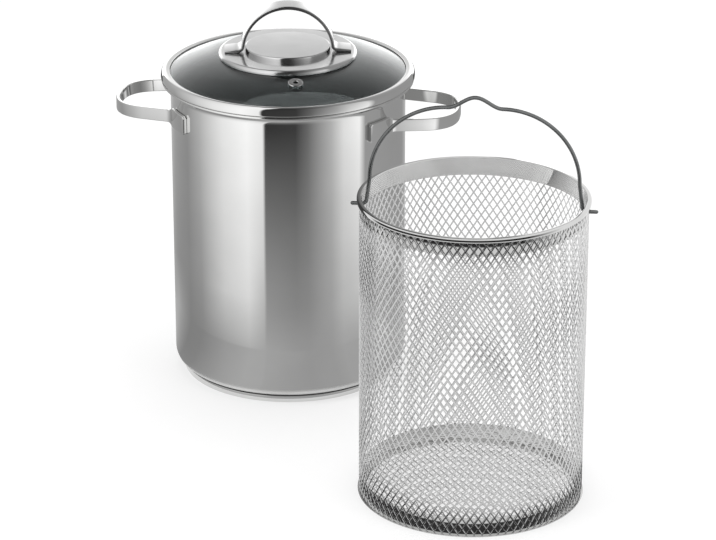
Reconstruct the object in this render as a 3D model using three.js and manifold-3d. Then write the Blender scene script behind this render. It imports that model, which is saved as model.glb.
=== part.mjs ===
// Asparagus pot: a tall steel pot with a glass lid, and the mesh basket that stands beside it.
// Millimetres, +Z up. The origin is the centre of the pot's underside, and +X runs along the side handles.

import * as THREE from 'three';
import { mergeVertices } from 'three/addons/utils/BufferGeometryUtils.js';
import Module from 'manifold-3d';

const wasm = await Module();
wasm.setup();

const DEGREE = Math.PI / 180;

// Clearances that several pieces share
const SEAT_GAP = 0.2; // between a piece and the face that carries it
const RUNNING_GAP = 0.4; // round a pin or a tube in its hole
const WELD_DISTANCE = 1e-4; // corners closer than this are one corner

// Smoothness of the round forms
const ROUND_STEPS = 48;
const SMALL_ROUND_STEPS = 16;
const ARCH_STEPS = 12;
const BEND_STEPS = 3;
const EDGE_STEPS = 2;
const CURVE_STEPS = 6;
const DOME_STEPS = 10;

// Pot
const BORE_RADIUS = 80;
const POT_WALL = 1;
const POT_HEIGHT = 213.3; // floor to the top of the lip
const CORNER_RADIUS = 10; // outside, between the wall and the floor
const FLARE_BEND = 6; // underside of the flared mouth
const FLARE_SWEEP = 72; // degrees that the mouth turns outwards
const LIP_BEAD = 1; // radius of the rolled edge
const BEAD_SWEEP = 140; // degrees of the bead on each side of its nose

// Layered base under the pot
const BASE_RADIUS = 75;
const BASE_HEIGHT = 5;
const CAP_SHEET = 0.8;
const CAP_EDGE = 0.8; // rounding of the cap's lower edge

// Side handles
const HANDLE_REACH = 38.5; // from the wall to the outer face
const HANDLE_DROP = 21; // from the lip down to the strap's middle
const HANDLE_HALF_END = 25; // half the width of the loop's outer end
const HANDLE_STRAP = 2.6;
const HANDLE_TALL = 8.7;
const HANDLE_END_BEND = 22;
const HANDLE_WALL_BEND = 4;
const PAD_TALL = 13.5;
const PAD_START = 24; // degrees from the handle's middle
const PAD_END = 40;

// Lid, glass and rim
const LID_TURN = 9.3; // degrees that the lid is turned on the pot
const GLASS_THICKNESS = 3;
const GLASS_RISE = 14;
const GLASS_POWER = 3; // how flat the crown is before it falls to the edge
const DRILL_SPAN = 4; // length of the drills, in thicknesses of the glass
const RIM_SHEET = 0.7;
const RIM_OVERHANG = 0.6; // past the pot's lip
const RIM_EDGE = 1; // rounding of the rim's outer edge
const RIM_MARGIN = 3.7; // from the rim's outer edge to the glass
const RIM_GRIP = 2.2; // how far the rim reaches over the glass
const SKIRT_CLEARANCE = 0.7; // between the skirt and the pot's bore
const SKIRT_DEPTH = 6.5;

// Lid, rosette and arch handle
const ROSETTE_RADIUS = 47.5;
const ROSETTE_SHEET = 0.8;
const ROSETTE_CLEARANCE = 0.8; // over the glass, at the step
const ROSETTE_EDGE = 2.2; // rounding of the outer edge
const CENTRE_RADIUS = 29.3;
const CENTRE_STEP = 3.3;
const CENTRE_EDGE = 1;
const ARCH_CLEARANCE = 0.6; // between the arch's legs and the raised centre
const ARCH_STRAP = 2.4;
const ARCH_WIDTH = 15.5;
const ARCH_HEIGHT = 32.8; // over the rosette's ring
const FOOT_TIP = 1.4; // thickness at the foot's end
const FOOT_MARGIN = 1.9; // from the foot's end to the rosette's rounded edge
const GASKET_MARGIN = 2.7;
const GASKET_WIDTH = 7;

// Lid, screw stack
const SCREW_RADIUS = 3;
const SCREW_HEAD_RADIUS = 5.5;
const SCREW_HEAD_TALL = 3;
const HEAD_ROUND = 1;
const BOSS_RADIUS = 8;
const THREAD_GAP = 0.15;
const SCREW_HOLE_RADIUS = 5; // in the glass
const WASHER_RADIUS = 8;
const WASHER_TALL = 1;
const SEAL_RADIUS = 9;
const SEAL_TALL = 1.5;

// Lid, vent
const VENT_ANGLE = -85.7; // degrees from the arch, seen from above
const VENT_MARGIN = 4.3; // between the eyelet and the rosette
const VENT_BORE = 1.75;
const EYELET_RADIUS = 5.2;
const EYELET_TALL = 1;
const EYELET_TUBE = 2.8;
const COLLAR_TALL = 0.8;

// Basket, which stands inside the pot in use and beside it here
const BASKET_CLEARANCE = 5.6; // between its rim and the pot's bore
const BASKET_HEADROOM = 3.3; // from its rim up to the pot's lip, when it stands in the pot
const STANDING_GAP = 85.4; // between the pot's wall and the basket's rim
const STANDING_ANGLE = -52.4; // degrees round the pot
const BASKET_TURN = 1.3; // degrees that the bail's axis is turned
const BAND_SHEET = 0.6;
const BAND_TALL = 12.5;
const MESH_SHEET = 0.8;
const ROLL_SHEET = 1.2; // thickness of the rolled rim outside the mesh
const ROLL_TALL = 3;
const HEM_REACH = 0.8; // past the mesh
const LEDGE_WIDTH = 3.5; // under the floor's edge
const OPENINGS_ROUND = 16; // coarse diamonds in place of the many fine ones
const OPENING_ROWS = 6; // between the two bands
const STAGGER = 0.49; // of the pitch from row to row, just off the middle so that the net winds a little
const NET_TURN = 2.6; // degrees, so that no corner of an opening falls where two flats of the wall meet
const STRAND_SHARE = 0.3; // of the pitch, left between the openings

// Bail
const WIRE_RADIUS = 1.25;
const WIRE_SIDES = 8;
const PIN_CLEARANCE = 1.3; // between the pin's end and the pot's bore
const PIVOT_DROP = 7.7; // from the rim down to the pivots
const BAIL_BEND = 3;
const LEG_LEAN = 2.3; // inwards
const LEG_TALL = 17.5;
const BAIL_ARC = 49;
const HUMP_RISE = 7;
const HUMP_STEPS = 8;

// Sizes that follow from those
const wallRadius = BORE_RADIUS + POT_WALL;
const potFloor = BASE_HEIGHT + POT_WALL;
const flareRadius = wallRadius + FLARE_BEND;
const lipAngle = (180 - FLARE_SWEEP) * DEGREE;
const beadAngle = lipAngle - Math.PI / 2;
const beadReach = FLARE_BEND + POT_WALL / 2;
const beadOut = flareRadius + beadReach * Math.cos(lipAngle) + LIP_BEAD * Math.cos(beadAngle);
const beadRise = beadReach * Math.sin(lipAngle) + LIP_BEAD * Math.sin(beadAngle);
const lipReach = beadOut + LIP_BEAD;
const flareStart = POT_HEIGHT - LIP_BEAD - beadRise;

const rimRadius = lipReach + RIM_OVERHANG;
const glassRadius = rimRadius - RIM_MARGIN;
const glassEdge = RIM_SHEET + SEAT_GAP + GLASS_THICKNESS;
const glassTop = (r) => glassEdge + GLASS_RISE * (1 - (r / glassRadius) ** GLASS_POWER);
const glassSlope = (r) => (GLASS_RISE * GLASS_POWER / glassRadius) * (r / glassRadius) ** (GLASS_POWER - 1);
const ringUnder = glassTop(CENTRE_RADIUS - ROSETTE_SHEET) + ROSETTE_CLEARANCE;
const ringTop = ringUnder + ROSETTE_SHEET;
const centreUnder = ringUnder + CENTRE_STEP;
const centreTop = centreUnder + ROSETTE_SHEET;
const ventReach = ROSETTE_RADIUS + VENT_MARGIN + EYELET_RADIUS;
const ventTilt = Math.atan(glassSlope(ventReach));
const glassAlongVent = GLASS_THICKNESS * Math.cos(ventTilt);
const sealTop = glassTop(0) - GLASS_THICKNESS - SEAT_GAP;
const washerTop = sealTop - SEAL_TALL - SEAT_GAP;
const headTop = washerTop - WASHER_TALL - SEAT_GAP;

const basketRim = BORE_RADIUS - BASKET_CLEARANCE;
const basketHeight = POT_HEIGHT - potFloor - BASKET_HEADROOM;
const meshRadius = basketRim - ROLL_SHEET - SEAT_GAP;
const bandRadius = meshRadius - MESH_SHEET - SEAT_GAP;
const bandBore = bandRadius - BAND_SHEET;
const pivotHeight = basketHeight - PIVOT_DROP;
const pinReach = BORE_RADIUS - PIN_CLEARANCE;
const basketReach = wallRadius + STANDING_GAP + basketRim;
const netWide = (Math.PI * meshRadius) / OPENINGS_ROUND; // half the pitch of the openings
const netTall = (basketHeight - 2 * BAND_TALL) / (OPENING_ROWS + 1);

// Finishes
const steel = (color, roughness) => new THREE.MeshStandardMaterial({ color, roughness, metalness: 1 });
const POLISHED = () => steel(0xc9cccc, 0.12);
const SATIN = () => steel(0xd4d5d5, 0.35);
const MESH_STEEL = () => steel(0xd8d9d9, 0.3);
const WIRE_STEEL = () => steel(0x8f9292, 0.25);
const CAST_ALUMINIUM = () => steel(0xb9bcbf, 0.5);
const GLASS = () => new THREE.MeshStandardMaterial({
  color: 0x5d6a68, roughness: 0.05, metalness: 0, transparent: true, opacity: 0.45,
});
const SILICONE = () => new THREE.MeshStandardMaterial({ color: 0x3a3d3d, roughness: 0.7, metalness: 0 });

// Shape helpers

const point = (r, z) => new THREE.Vector2(r, z);

// Points of an arc about (r, z), from one angle to another in radians.
function arc(r, z, radius, from, to, steps = BEND_STEPS) {
  const points = [];
  for (let i = 0; i <= steps; i += 1) {
    const angle = from + ((to - from) * i) / steps;
    points.push(point(r + radius * Math.cos(angle), z + radius * Math.sin(angle)));
  }
  return points;
}

// A profile turned about Z. It starts and ends on the axis.
function turned(profile, steps = ROUND_STEPS) {
  return new THREE.LatheGeometry(profile, steps).rotateX(Math.PI / 2);
}

// A closed profile turned about Z into a ring.
function ring(profile, steps = ROUND_STEPS) {
  return turned([...profile, profile[0].clone()], steps);
}

// A ring of rectangular section.
function flatRing(inner, outer, bottom, top, steps = SMALL_ROUND_STEPS) {
  return ring([point(inner, bottom), point(outer, bottom), point(outer, top), point(inner, top)], steps);
}

function toSolid(geometry) {
  const bare = geometry.clone();
  bare.deleteAttribute('normal');
  bare.deleteAttribute('uv');
  const welded = mergeVertices(bare, WELD_DISTANCE);
  const corners = welded.index.array;
  const triangles = [];
  for (let i = 0; i < corners.length; i += 3) {
    const [a, b, c] = [corners[i], corners[i + 1], corners[i + 2]];
    if (a !== b && b !== c && c !== a) triangles.push(a, b, c);
  }
  const vertProperties = new Float32Array(welded.attributes.position.array);
  const triVerts = new Uint32Array(triangles);
  return new wasm.Manifold(new wasm.Mesh({ numProp: 3, vertProperties, triVerts }));
}

function toGeometry(solid) {
  const { vertProperties, triVerts } = solid.getMesh();
  const geometry = new THREE.BufferGeometry();
  geometry.setAttribute('position', new THREE.BufferAttribute(new Float32Array(vertProperties), 3));
  geometry.setIndex(new THREE.BufferAttribute(new Uint32Array(triVerts), 1));
  geometry.computeVertexNormals();
  return geometry;
}

function cut(geometry, ...tools) {
  const rest = tools.reduce((solid, tool) => solid.subtract(toSolid(tool)), toSolid(geometry));
  return toGeometry(rest);
}

function join(...pieces) {
  const whole = pieces.map(toSolid).reduce((sum, piece) => sum.add(piece));
  return toGeometry(whole);
}

// A path through corners, each rounded over the length given beside it.
function roundedPath(corners) {
  const path = new THREE.Path();
  path.moveTo(corners[0].at.x, corners[0].at.y);
  for (let i = 1; i < corners.length - 1; i += 1) {
    const { at, bend } = corners[i];
    const before = at.clone().add(corners[i - 1].at.clone().sub(at).setLength(bend));
    const after = at.clone().add(corners[i + 1].at.clone().sub(at).setLength(bend));
    path.lineTo(before.x, before.y);
    path.quadraticCurveTo(at.x, at.y, after.x, after.y);
  }
  const last = corners[corners.length - 1].at;
  path.lineTo(last.x, last.y);
  return path;
}

// A band of even thickness that stands on a plan path.
function strap(path, thickness, tall) {
  const middle = path.getPoints(CURVE_STEPS);
  const side = (offset) => middle.map((here, i) => {
    const ahead = middle[Math.min(i + 1, middle.length - 1)];
    const behind = middle[Math.max(i - 1, 0)];
    const along = ahead.clone().sub(behind).normalize();
    return here.clone().add(point(-along.y, along.x).multiplyScalar(offset));
  });
  const outline = new THREE.Shape([...side(-thickness / 2), ...side(thickness / 2).reverse()]);
  return new THREE.ExtrudeGeometry(outline, { depth: tall, bevelEnabled: false }).translate(0, 0, -tall / 2);
}

// A route that steps through its points one by one, so a bend has more steps than a straight run.
class WireRoute extends THREE.Curve {
  constructor(points) {
    super();
    this.points = points;
  }

  getPointAt(share) {
    return this.points[Math.round(share * (this.points.length - 1))].clone();
  }

  getTangentAt(share) {
    const last = this.points.length - 1;
    const here = Math.round(share * last);
    const run = (from, to) => this.points[to].clone().sub(this.points[from]).normalize();
    const before = run(Math.max(here - 1, 0), Math.max(here, 1));
    const after = run(Math.min(here, last - 1), Math.min(here + 1, last));
    return before.add(after).normalize();
  }
}

function piece(name, geometry, material) {
  const mesh = new THREE.Mesh(geometry, material);
  mesh.name = name;
  return mesh;
}

// Pot

function potBody() {
  const cornerOut = wallRadius - CORNER_RADIUS;
  const cornerHigh = BASE_HEIGHT + CORNER_RADIUS;
  const bead = BEAD_SWEEP * DEGREE;
  return turned([
    point(0, BASE_HEIGHT),
    ...arc(cornerOut, cornerHigh, CORNER_RADIUS, -Math.PI / 2, 0),
    ...arc(flareRadius, flareStart, FLARE_BEND, Math.PI, lipAngle),
    ...arc(beadOut, flareStart + beadRise, LIP_BEAD, beadAngle - bead, beadAngle + bead, CURVE_STEPS),
    ...arc(flareRadius, flareStart, FLARE_BEND + POT_WALL, lipAngle, Math.PI),
    ...arc(cornerOut, cornerHigh, CORNER_RADIUS - POT_WALL, 0, -Math.PI / 2),
    point(0, potFloor),
  ]);
}

function baseCap() {
  const bore = BASE_RADIUS - CAP_SHEET;
  const top = BASE_HEIGHT - SEAT_GAP;
  return turned([
    point(0, 0),
    ...arc(BASE_RADIUS - CAP_EDGE, CAP_EDGE, CAP_EDGE, -Math.PI / 2, 0, EDGE_STEPS),
    point(BASE_RADIUS, top),
    point(bore, top),
    point(bore, CAP_SHEET),
    point(0, CAP_SHEET),
  ]);
}

function baseCore() {
  const radius = BASE_RADIUS - CAP_SHEET - SEAT_GAP;
  const bottom = CAP_SHEET + SEAT_GAP;
  const top = BASE_HEIGHT - SEAT_GAP;
  return turned([point(0, bottom), point(radius, bottom), point(radius, top), point(0, top)]);
}

// A curved plate that lies on the pot's wall, from one angle to another.
function handlePad(from, to) {
  const inner = wallRadius + SEAT_GAP;
  const outline = new THREE.Shape([
    ...arc(0, 0, inner + HANDLE_STRAP, from * DEGREE, to * DEGREE),
    ...arc(0, 0, inner, to * DEGREE, from * DEGREE),
  ]);
  return new THREE.ExtrudeGeometry(outline, { depth: PAD_TALL, bevelEnabled: false })
    .translate(0, 0, -PAD_TALL / 2);
}

// The loop's ends run into the middle of the two pads.
function sideHandle() {
  const onWall = wallRadius + SEAT_GAP + HANDLE_STRAP / 2;
  const outside = wallRadius + HANDLE_REACH - HANDLE_STRAP / 2;
  const around = (angle) => point(onWall * Math.cos(angle * DEGREE), onWall * Math.sin(angle * DEGREE));
  const padMiddle = (PAD_START + PAD_END) / 2;
  const loop = roundedPath([
    { at: around(-padMiddle) },
    { at: around(-PAD_START), bend: HANDLE_WALL_BEND },
    { at: point(outside, -HANDLE_HALF_END), bend: HANDLE_END_BEND },
    { at: point(outside, HANDLE_HALF_END), bend: HANDLE_END_BEND },
    { at: around(PAD_START), bend: HANDLE_WALL_BEND },
    { at: around(padMiddle) },
  ]);
  return join(
    strap(loop, HANDLE_STRAP, HANDLE_TALL),
    handlePad(PAD_START, PAD_END),
    handlePad(-PAD_END, -PAD_START),
  );
}

function makePot() {
  const pot = new THREE.Group();
  pot.add(piece('pot_body', potBody(), POLISHED()));
  pot.add(piece('base_core', baseCore(), CAST_ALUMINIUM()));
  pot.add(piece('base_cap', baseCap(), POLISHED()));
  const right = piece('handle_right', sideHandle(), POLISHED());
  const left = piece('handle_left', sideHandle(), POLISHED());
  right.position.z = POT_HEIGHT - HANDLE_DROP;
  left.position.z = right.position.z;
  left.rotation.z = Math.PI;
  pot.add(right, left);
  return pot;
}

// Lid, in its own frame: Z is 0 where the rim rests on the pot's lip

function ventPlace() {
  const turn = VENT_ANGLE * DEGREE;
  const at = new THREE.Vector3(ventReach * Math.cos(turn), ventReach * Math.sin(turn), glassTop(ventReach));
  return new THREE.Matrix4().makeTranslation(at)
    .multiply(new THREE.Matrix4().makeRotationZ(turn))
    .multiply(new THREE.Matrix4().makeRotationY(ventTilt));
}

function hole(radius, length) {
  return new THREE.CylinderGeometry(radius, radius, length, SMALL_ROUND_STEPS).rotateX(Math.PI / 2);
}

function lidGlass() {
  const crown = [];
  for (let i = 0; i <= DOME_STEPS; i += 1) {
    const r = glassRadius * (1 - i / DOME_STEPS);
    crown.push(point(r, glassTop(r)));
  }
  const under = crown.map(({ x, y }) => point(x, y - GLASS_THICKNESS)).reverse();
  const crownMiddle = glassTop(0) - GLASS_THICKNESS / 2;
  const drill = DRILL_SPAN * GLASS_THICKNESS;
  const screwHole = hole(SCREW_HOLE_RADIUS, drill).translate(0, 0, crownMiddle);
  const ventHole = hole(EYELET_TUBE + RUNNING_GAP, drill).applyMatrix4(ventPlace());
  return cut(turned([...under, ...crown]), screwHole, ventHole);
}

// One band: the skirt in the mouth, the web on the lip, the outer edge and the hood over the glass.
function lidRim() {
  const skirtOut = BORE_RADIUS - SKIRT_CLEARANCE;
  const skirtIn = skirtOut - RIM_SHEET;
  const hoodReach = glassRadius - RIM_GRIP;
  const hoodUnder = glassTop(hoodReach) + SEAT_GAP;
  const hoodTop = hoodUnder + RIM_SHEET;
  const channel = glassRadius + SEAT_GAP;
  const hood = new THREE.QuadraticBezierCurve(
    point(rimRadius, RIM_EDGE),
    point(rimRadius - RIM_SHEET, hoodTop - RIM_SHEET),
    point(hoodReach, hoodTop),
  );
  return ring([
    point(skirtIn, -SKIRT_DEPTH),
    point(skirtOut, -SKIRT_DEPTH),
    point(skirtOut, 0),
    ...arc(rimRadius - RIM_EDGE, RIM_EDGE, RIM_EDGE, -Math.PI / 2, 0, EDGE_STEPS),
    ...hood.getPoints(CURVE_STEPS).slice(1),
    point(hoodReach, hoodUnder),
    point(channel, glassEdge + SEAT_GAP),
    point(channel, RIM_SHEET),
    point(skirtIn, RIM_SHEET),
  ]);
}

function lidRosette() {
  const stepBore = CENTRE_RADIUS - ROSETTE_SHEET;
  const edgeBore = ROSETTE_RADIUS - ROSETTE_SHEET;
  const edgeBottom = glassTop(edgeBore) + SEAT_GAP;
  const edgeInside = ROSETTE_EDGE - ROSETTE_SHEET;
  return turned([
    point(0, centreUnder),
    point(stepBore, centreUnder),
    point(stepBore, ringUnder),
    point(edgeBore - edgeInside, ringUnder),
    point(edgeBore, ringUnder - edgeInside),
    point(edgeBore, edgeBottom),
    point(ROSETTE_RADIUS, edgeBottom),
    ...arc(ROSETTE_RADIUS - ROSETTE_EDGE, ringTop - ROSETTE_EDGE, ROSETTE_EDGE, 0, Math.PI / 2, EDGE_STEPS),
    point(CENTRE_RADIUS, ringTop),
    ...arc(CENTRE_RADIUS - CENTRE_EDGE, centreTop - CENTRE_EDGE, CENTRE_EDGE, 0, Math.PI / 2, EDGE_STEPS),
    point(0, centreTop),
  ]);
}

// The gasket fills the wedge between the rosette's flat ring and the falling glass.
function rosetteGasket() {
  const outer = ROSETTE_RADIUS - ROSETTE_SHEET - GASKET_MARGIN;
  const inner = outer - GASKET_WIDTH;
  const top = ringUnder - SEAT_GAP;
  return ring([
    point(inner, glassTop(inner) + SEAT_GAP),
    point(outer, glassTop(outer) + SEAT_GAP),
    point(outer, top),
    point(inner, top),
  ]);
}

// A flat strap bent to a round arch, with a foot turned out at each end.
function lidHandle() {
  const inner = CENTRE_RADIUS + ARCH_CLEARANCE;
  const outer = inner + ARCH_STRAP;
  const footEnd = ROSETTE_RADIUS - ROSETTE_EDGE - FOOT_MARGIN;
  const middle = ARCH_HEIGHT - outer;
  const insideStart = Math.asin(Math.max(0, -middle) / inner);
  const outsideStart = Math.asin(Math.max(0, ARCH_STRAP - middle) / outer);
  const outline = new THREE.Shape();
  outline.moveTo(-footEnd, 0);
  outline.lineTo(-inner * Math.cos(insideStart), 0);
  outline.absarc(0, middle, inner, Math.PI - insideStart, insideStart, true);
  outline.lineTo(inner * Math.cos(insideStart), 0);
  outline.lineTo(footEnd, 0);
  outline.lineTo(footEnd, FOOT_TIP);
  outline.lineTo(outer * Math.cos(outsideStart), ARCH_STRAP);
  outline.absarc(0, middle, outer, outsideStart, Math.PI - outsideStart, false);
  outline.lineTo(-outer * Math.cos(outsideStart), ARCH_STRAP);
  outline.lineTo(-footEnd, FOOT_TIP);
  const options = { depth: ARCH_WIDTH, bevelEnabled: false, curveSegments: ARCH_STEPS };
  return new THREE.ExtrudeGeometry(outline, options)
    .rotateX(Math.PI / 2)
    .translate(0, ARCH_WIDTH / 2, ringTop + SEAT_GAP);
}

function handleBoss() {
  const bottom = glassTop(0) + SEAT_GAP;
  return flatRing(SCREW_RADIUS + THREAD_GAP, BOSS_RADIUS, bottom, centreUnder - SEAT_GAP);
}

function handleScrew() {
  const headBottom = headTop - SCREW_HEAD_TALL;
  const headEdge = SCREW_HEAD_RADIUS - HEAD_ROUND;
  const tip = centreUnder - SEAT_GAP;
  return turned([
    point(0, headBottom),
    ...arc(headEdge, headBottom + HEAD_ROUND, HEAD_ROUND, -Math.PI / 2, 0, EDGE_STEPS),
    point(SCREW_HEAD_RADIUS, headTop),
    point(SCREW_RADIUS, headTop),
    point(SCREW_RADIUS, tip),
    point(0, tip),
  ], SMALL_ROUND_STEPS);
}

function screwWasher() {
  return flatRing(SCREW_RADIUS + THREAD_GAP, WASHER_RADIUS, washerTop - WASHER_TALL, washerTop);
}

function screwGasket() {
  return flatRing(SCREW_RADIUS + THREAD_GAP, SEAL_RADIUS, sealTop - SEAL_TALL, sealTop);
}

// In the vent's own frame Z is 0 on the glass and points away from it.
function ventEyelet() {
  const bottom = -(glassAlongVent + SEAT_GAP + COLLAR_TALL + SEAT_GAP);
  const top = SEAT_GAP + EYELET_TALL;
  const round = EYELET_TALL / 2;
  return ring([
    point(VENT_BORE, bottom),
    point(EYELET_TUBE, bottom),
    point(EYELET_TUBE, SEAT_GAP),
    ...arc(EYELET_RADIUS - round, SEAT_GAP + round, round, -Math.PI / 2, Math.PI / 2, EDGE_STEPS),
    point(VENT_BORE + round, top),
    point(VENT_BORE, top - round),
  ], SMALL_ROUND_STEPS);
}

function ventCollar() {
  const top = -(glassAlongVent + SEAT_GAP);
  return flatRing(EYELET_TUBE + THREAD_GAP, EYELET_RADIUS, top - COLLAR_TALL, top);
}

function makeLid() {
  const lid = new THREE.Group();
  lid.position.z = POT_HEIGHT + SEAT_GAP;
  lid.rotation.z = LID_TURN * DEGREE;
  lid.add(piece('lid_rim', lidRim(), POLISHED()));
  lid.add(piece('lid_glass', lidGlass(), GLASS()));
  lid.add(piece('lid_rosette', lidRosette(), SATIN()));
  lid.add(piece('lid_handle', lidHandle(), SATIN()));
  lid.add(piece('rosette_gasket', rosetteGasket(), SILICONE()));
  lid.add(piece('handle_boss', handleBoss(), SATIN()));
  lid.add(piece('handle_screw', handleScrew(), SATIN()));
  lid.add(piece('screw_washer', screwWasher(), SATIN()));
  lid.add(piece('screw_gasket', screwGasket(), SILICONE()));
  const vent = new THREE.Group();
  vent.applyMatrix4(ventPlace());
  vent.add(piece('vent_eyelet', ventEyelet(), SATIN()));
  vent.add(piece('vent_collar', ventCollar(), SATIN()));
  lid.add(vent);
  return lid;
}

// Basket, in its own frame: Z is 0 where it stands, and the bail's axis runs along X

function pivotHole() {
  const radius = WIRE_RADIUS + RUNNING_GAP;
  return new THREE.CylinderGeometry(radius, radius, 2 * pinReach, SMALL_ROUND_STEPS)
    .rotateZ(Math.PI / 2)
    .translate(0, 0, pivotHeight);
}

// The cutter of one opening, along Z.
function diamond(depth) {
  const wide = netWide * (1 - STRAND_SHARE);
  const tall = netTall * (1 - STRAND_SHARE);
  const outline = new THREE.Shape([point(wide, 0), point(0, tall), point(-wide, 0), point(0, -tall)]);
  return new THREE.ExtrudeGeometry(outline, { depth, bevelEnabled: false });
}

function wallOpenings() {
  const upright = new THREE.Matrix4().set(0, 0, 1, bandRadius, 1, 0, 0, 0, 0, 1, 0, BAND_TALL, 0, 0, 0, 1);
  const openings = [];
  for (let row = 1; row <= OPENING_ROWS; row += 1) {
    for (let column = 0; column < OPENINGS_ROUND; column += 1) {
      const turn = (2 * Math.PI * (column + row * STAGGER)) / OPENINGS_ROUND + NET_TURN * DEGREE;
      const cutter = diamond(basketRim - bandRadius).applyMatrix4(upright);
      openings.push(cutter.translate(0, 0, row * netTall).rotateZ(turn));
    }
  }
  return openings;
}

function basketWall() {
  const bottom = BAND_SHEET + SEAT_GAP;
  const top = basketHeight - ROLL_SHEET - SEAT_GAP;
  const shell = flatRing(meshRadius - MESH_SHEET, meshRadius, bottom, top, ROUND_STEPS);
  return cut(shell, pivotHole(), ...wallOpenings());
}

// The band stands inside the mesh, and its top edge is rolled out and down over the mesh.
function basketTopBand() {
  const rollUnder = basketHeight - ROLL_SHEET;
  const rollBore = basketRim - ROLL_SHEET;
  const round = ROLL_SHEET / 2;
  const profile = [
    point(bandBore, basketHeight - BAND_TALL),
    point(bandRadius, basketHeight - BAND_TALL),
    point(bandRadius, rollUnder),
    point(rollBore, rollUnder),
    point(rollBore, basketHeight - ROLL_TALL),
    ...arc(basketRim - round, basketHeight - ROLL_TALL, round, -Math.PI / 2, 0, EDGE_STEPS),
    ...arc(basketRim - ROLL_SHEET, basketHeight - ROLL_SHEET, ROLL_SHEET, 0, Math.PI / 2, EDGE_STEPS),
    ...arc(bandBore + round, basketHeight - round, round, Math.PI / 2, Math.PI, EDGE_STEPS),
  ];
  return cut(ring(profile), pivotHole());
}

// The band stands inside the mesh on a flange that carries the floor inside and the mesh outside.
function basketBottomBand() {
  const hem = meshRadius + HEM_REACH;
  return ring([
    point(bandBore - LEDGE_WIDTH, 0),
    ...arc(hem - BAND_SHEET / 2, BAND_SHEET / 2, BAND_SHEET / 2, -Math.PI / 2, Math.PI / 2, EDGE_STEPS),
    point(bandRadius, BAND_SHEET),
    point(bandRadius, BAND_TALL),
    point(bandBore, BAND_TALL),
    point(bandBore, BAND_SHEET),
    point(bandBore - LEDGE_WIDTH, BAND_SHEET),
  ]);
}

// Whole openings inside the ledge that the floor lies on.
function floorOpenings() {
  const reach = bandBore - LEDGE_WIDTH;
  const most = Math.floor(reach / netWide);
  const openings = [];
  for (let row = -most; row <= most; row += 1) {
    for (let column = -most; column <= most; column += 1) {
      const sideTip = Math.hypot((Math.abs(column) + 1) * netWide, row * netTall);
      const endTip = Math.hypot(column * netWide, (Math.abs(row) + 1) * netTall);
      const staggered = (row + column) % 2 === 0;
      if (staggered && Math.max(sideTip, endTip) < reach) {
        openings.push(diamond(BAND_TALL).translate(column * netWide, row * netTall, 0));
      }
    }
  }
  return openings;
}

function basketFloor() {
  const radius = bandBore - SEAT_GAP;
  const bottom = BAND_SHEET + SEAT_GAP;
  const top = bottom + MESH_SHEET;
  const disc = turned([point(0, bottom), point(radius, bottom), point(radius, top), point(0, top)]);
  return cut(disc, ...floorOpenings());
}

// Half of the wire's middle line, from the pin's end to the apex: along the pivot, up the leg,
// round the shoulder and over the hump. X runs along the pivots and Y is the height over them.
function bailHalf() {
  const legFoot = bandBore + RUNNING_GAP - BAIL_BEND;
  const legTop = legFoot - LEG_LEAN;
  const shoulder = legTop - BAIL_ARC;
  const shoulderRise = LEG_TALL + BAIL_ARC;
  const leg = point(legTop - legFoot, LEG_TALL).setLength(BAIL_BEND);
  const route = new THREE.Path();
  route.moveTo(pinReach, 0);
  route.lineTo(legFoot + BAIL_BEND, 0);
  route.quadraticCurveTo(legFoot, 0, legFoot + leg.x, leg.y);
  route.lineTo(legTop, LEG_TALL);
  route.absarc(shoulder, LEG_TALL, BAIL_ARC, 0, Math.PI / 2, false);
  const points = route.getPoints(CURVE_STEPS);
  for (let i = 1; i <= HUMP_STEPS; i += 1) {
    const share = i / HUMP_STEPS;
    const rise = (HUMP_RISE * (1 - Math.cos(Math.PI * share))) / 2;
    points.push(point(shoulder * (1 - share), shoulderRise + rise));
  }
  return points;
}

function bail() {
  const half = bailHalf();
  const mirrored = half.slice(0, -1).reverse().map(({ x, y }) => point(-x, y));
  const points = [...half, ...mirrored].map(({ x, y }) => new THREE.Vector3(x, 0, pivotHeight + y));
  const corners = [];
  for (let i = 0; i < WIRE_SIDES; i += 1) {
    const angle = (2 * Math.PI * i) / WIRE_SIDES;
    corners.push(point(WIRE_RADIUS * Math.cos(angle), WIRE_RADIUS * Math.sin(angle)));
  }
  const options = { steps: points.length - 1, extrudePath: new WireRoute(points), bevelEnabled: false };
  return new THREE.ExtrudeGeometry(new THREE.Shape(corners), options);
}

function makeBasket() {
  const basket = new THREE.Group();
  const angle = STANDING_ANGLE * DEGREE;
  basket.position.set(basketReach * Math.cos(angle), basketReach * Math.sin(angle), 0);
  basket.rotation.z = BASKET_TURN * DEGREE;
  basket.add(piece('basket_wall', basketWall(), MESH_STEEL()));
  basket.add(piece('basket_top_band', basketTopBand(), POLISHED()));
  basket.add(piece('basket_bottom_band', basketBottomBand(), POLISHED()));
  basket.add(piece('basket_floor', basketFloor(), MESH_STEEL()));
  basket.add(piece('bail', bail(), WIRE_STEEL()));
  return basket;
}

const asparagusPot = new THREE.Group();
asparagusPot.add(makePot(), makeLid(), makeBasket());

export default asparagusPot;
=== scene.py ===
"""Looks of the asparagus pot: the steel pot, its glass lid and the mesh basket that stands beside it.

The packed solids give the frame. Each sub-assembly is a class that works out its surfaces with numpy, in
millimetres, and dresses them. +Z is up, +X runs along the side handles and the viewer is on the -Y side.
"""

import logging
import math
from dataclasses import dataclass, field
from enum import Enum
from functools import cache

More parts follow.
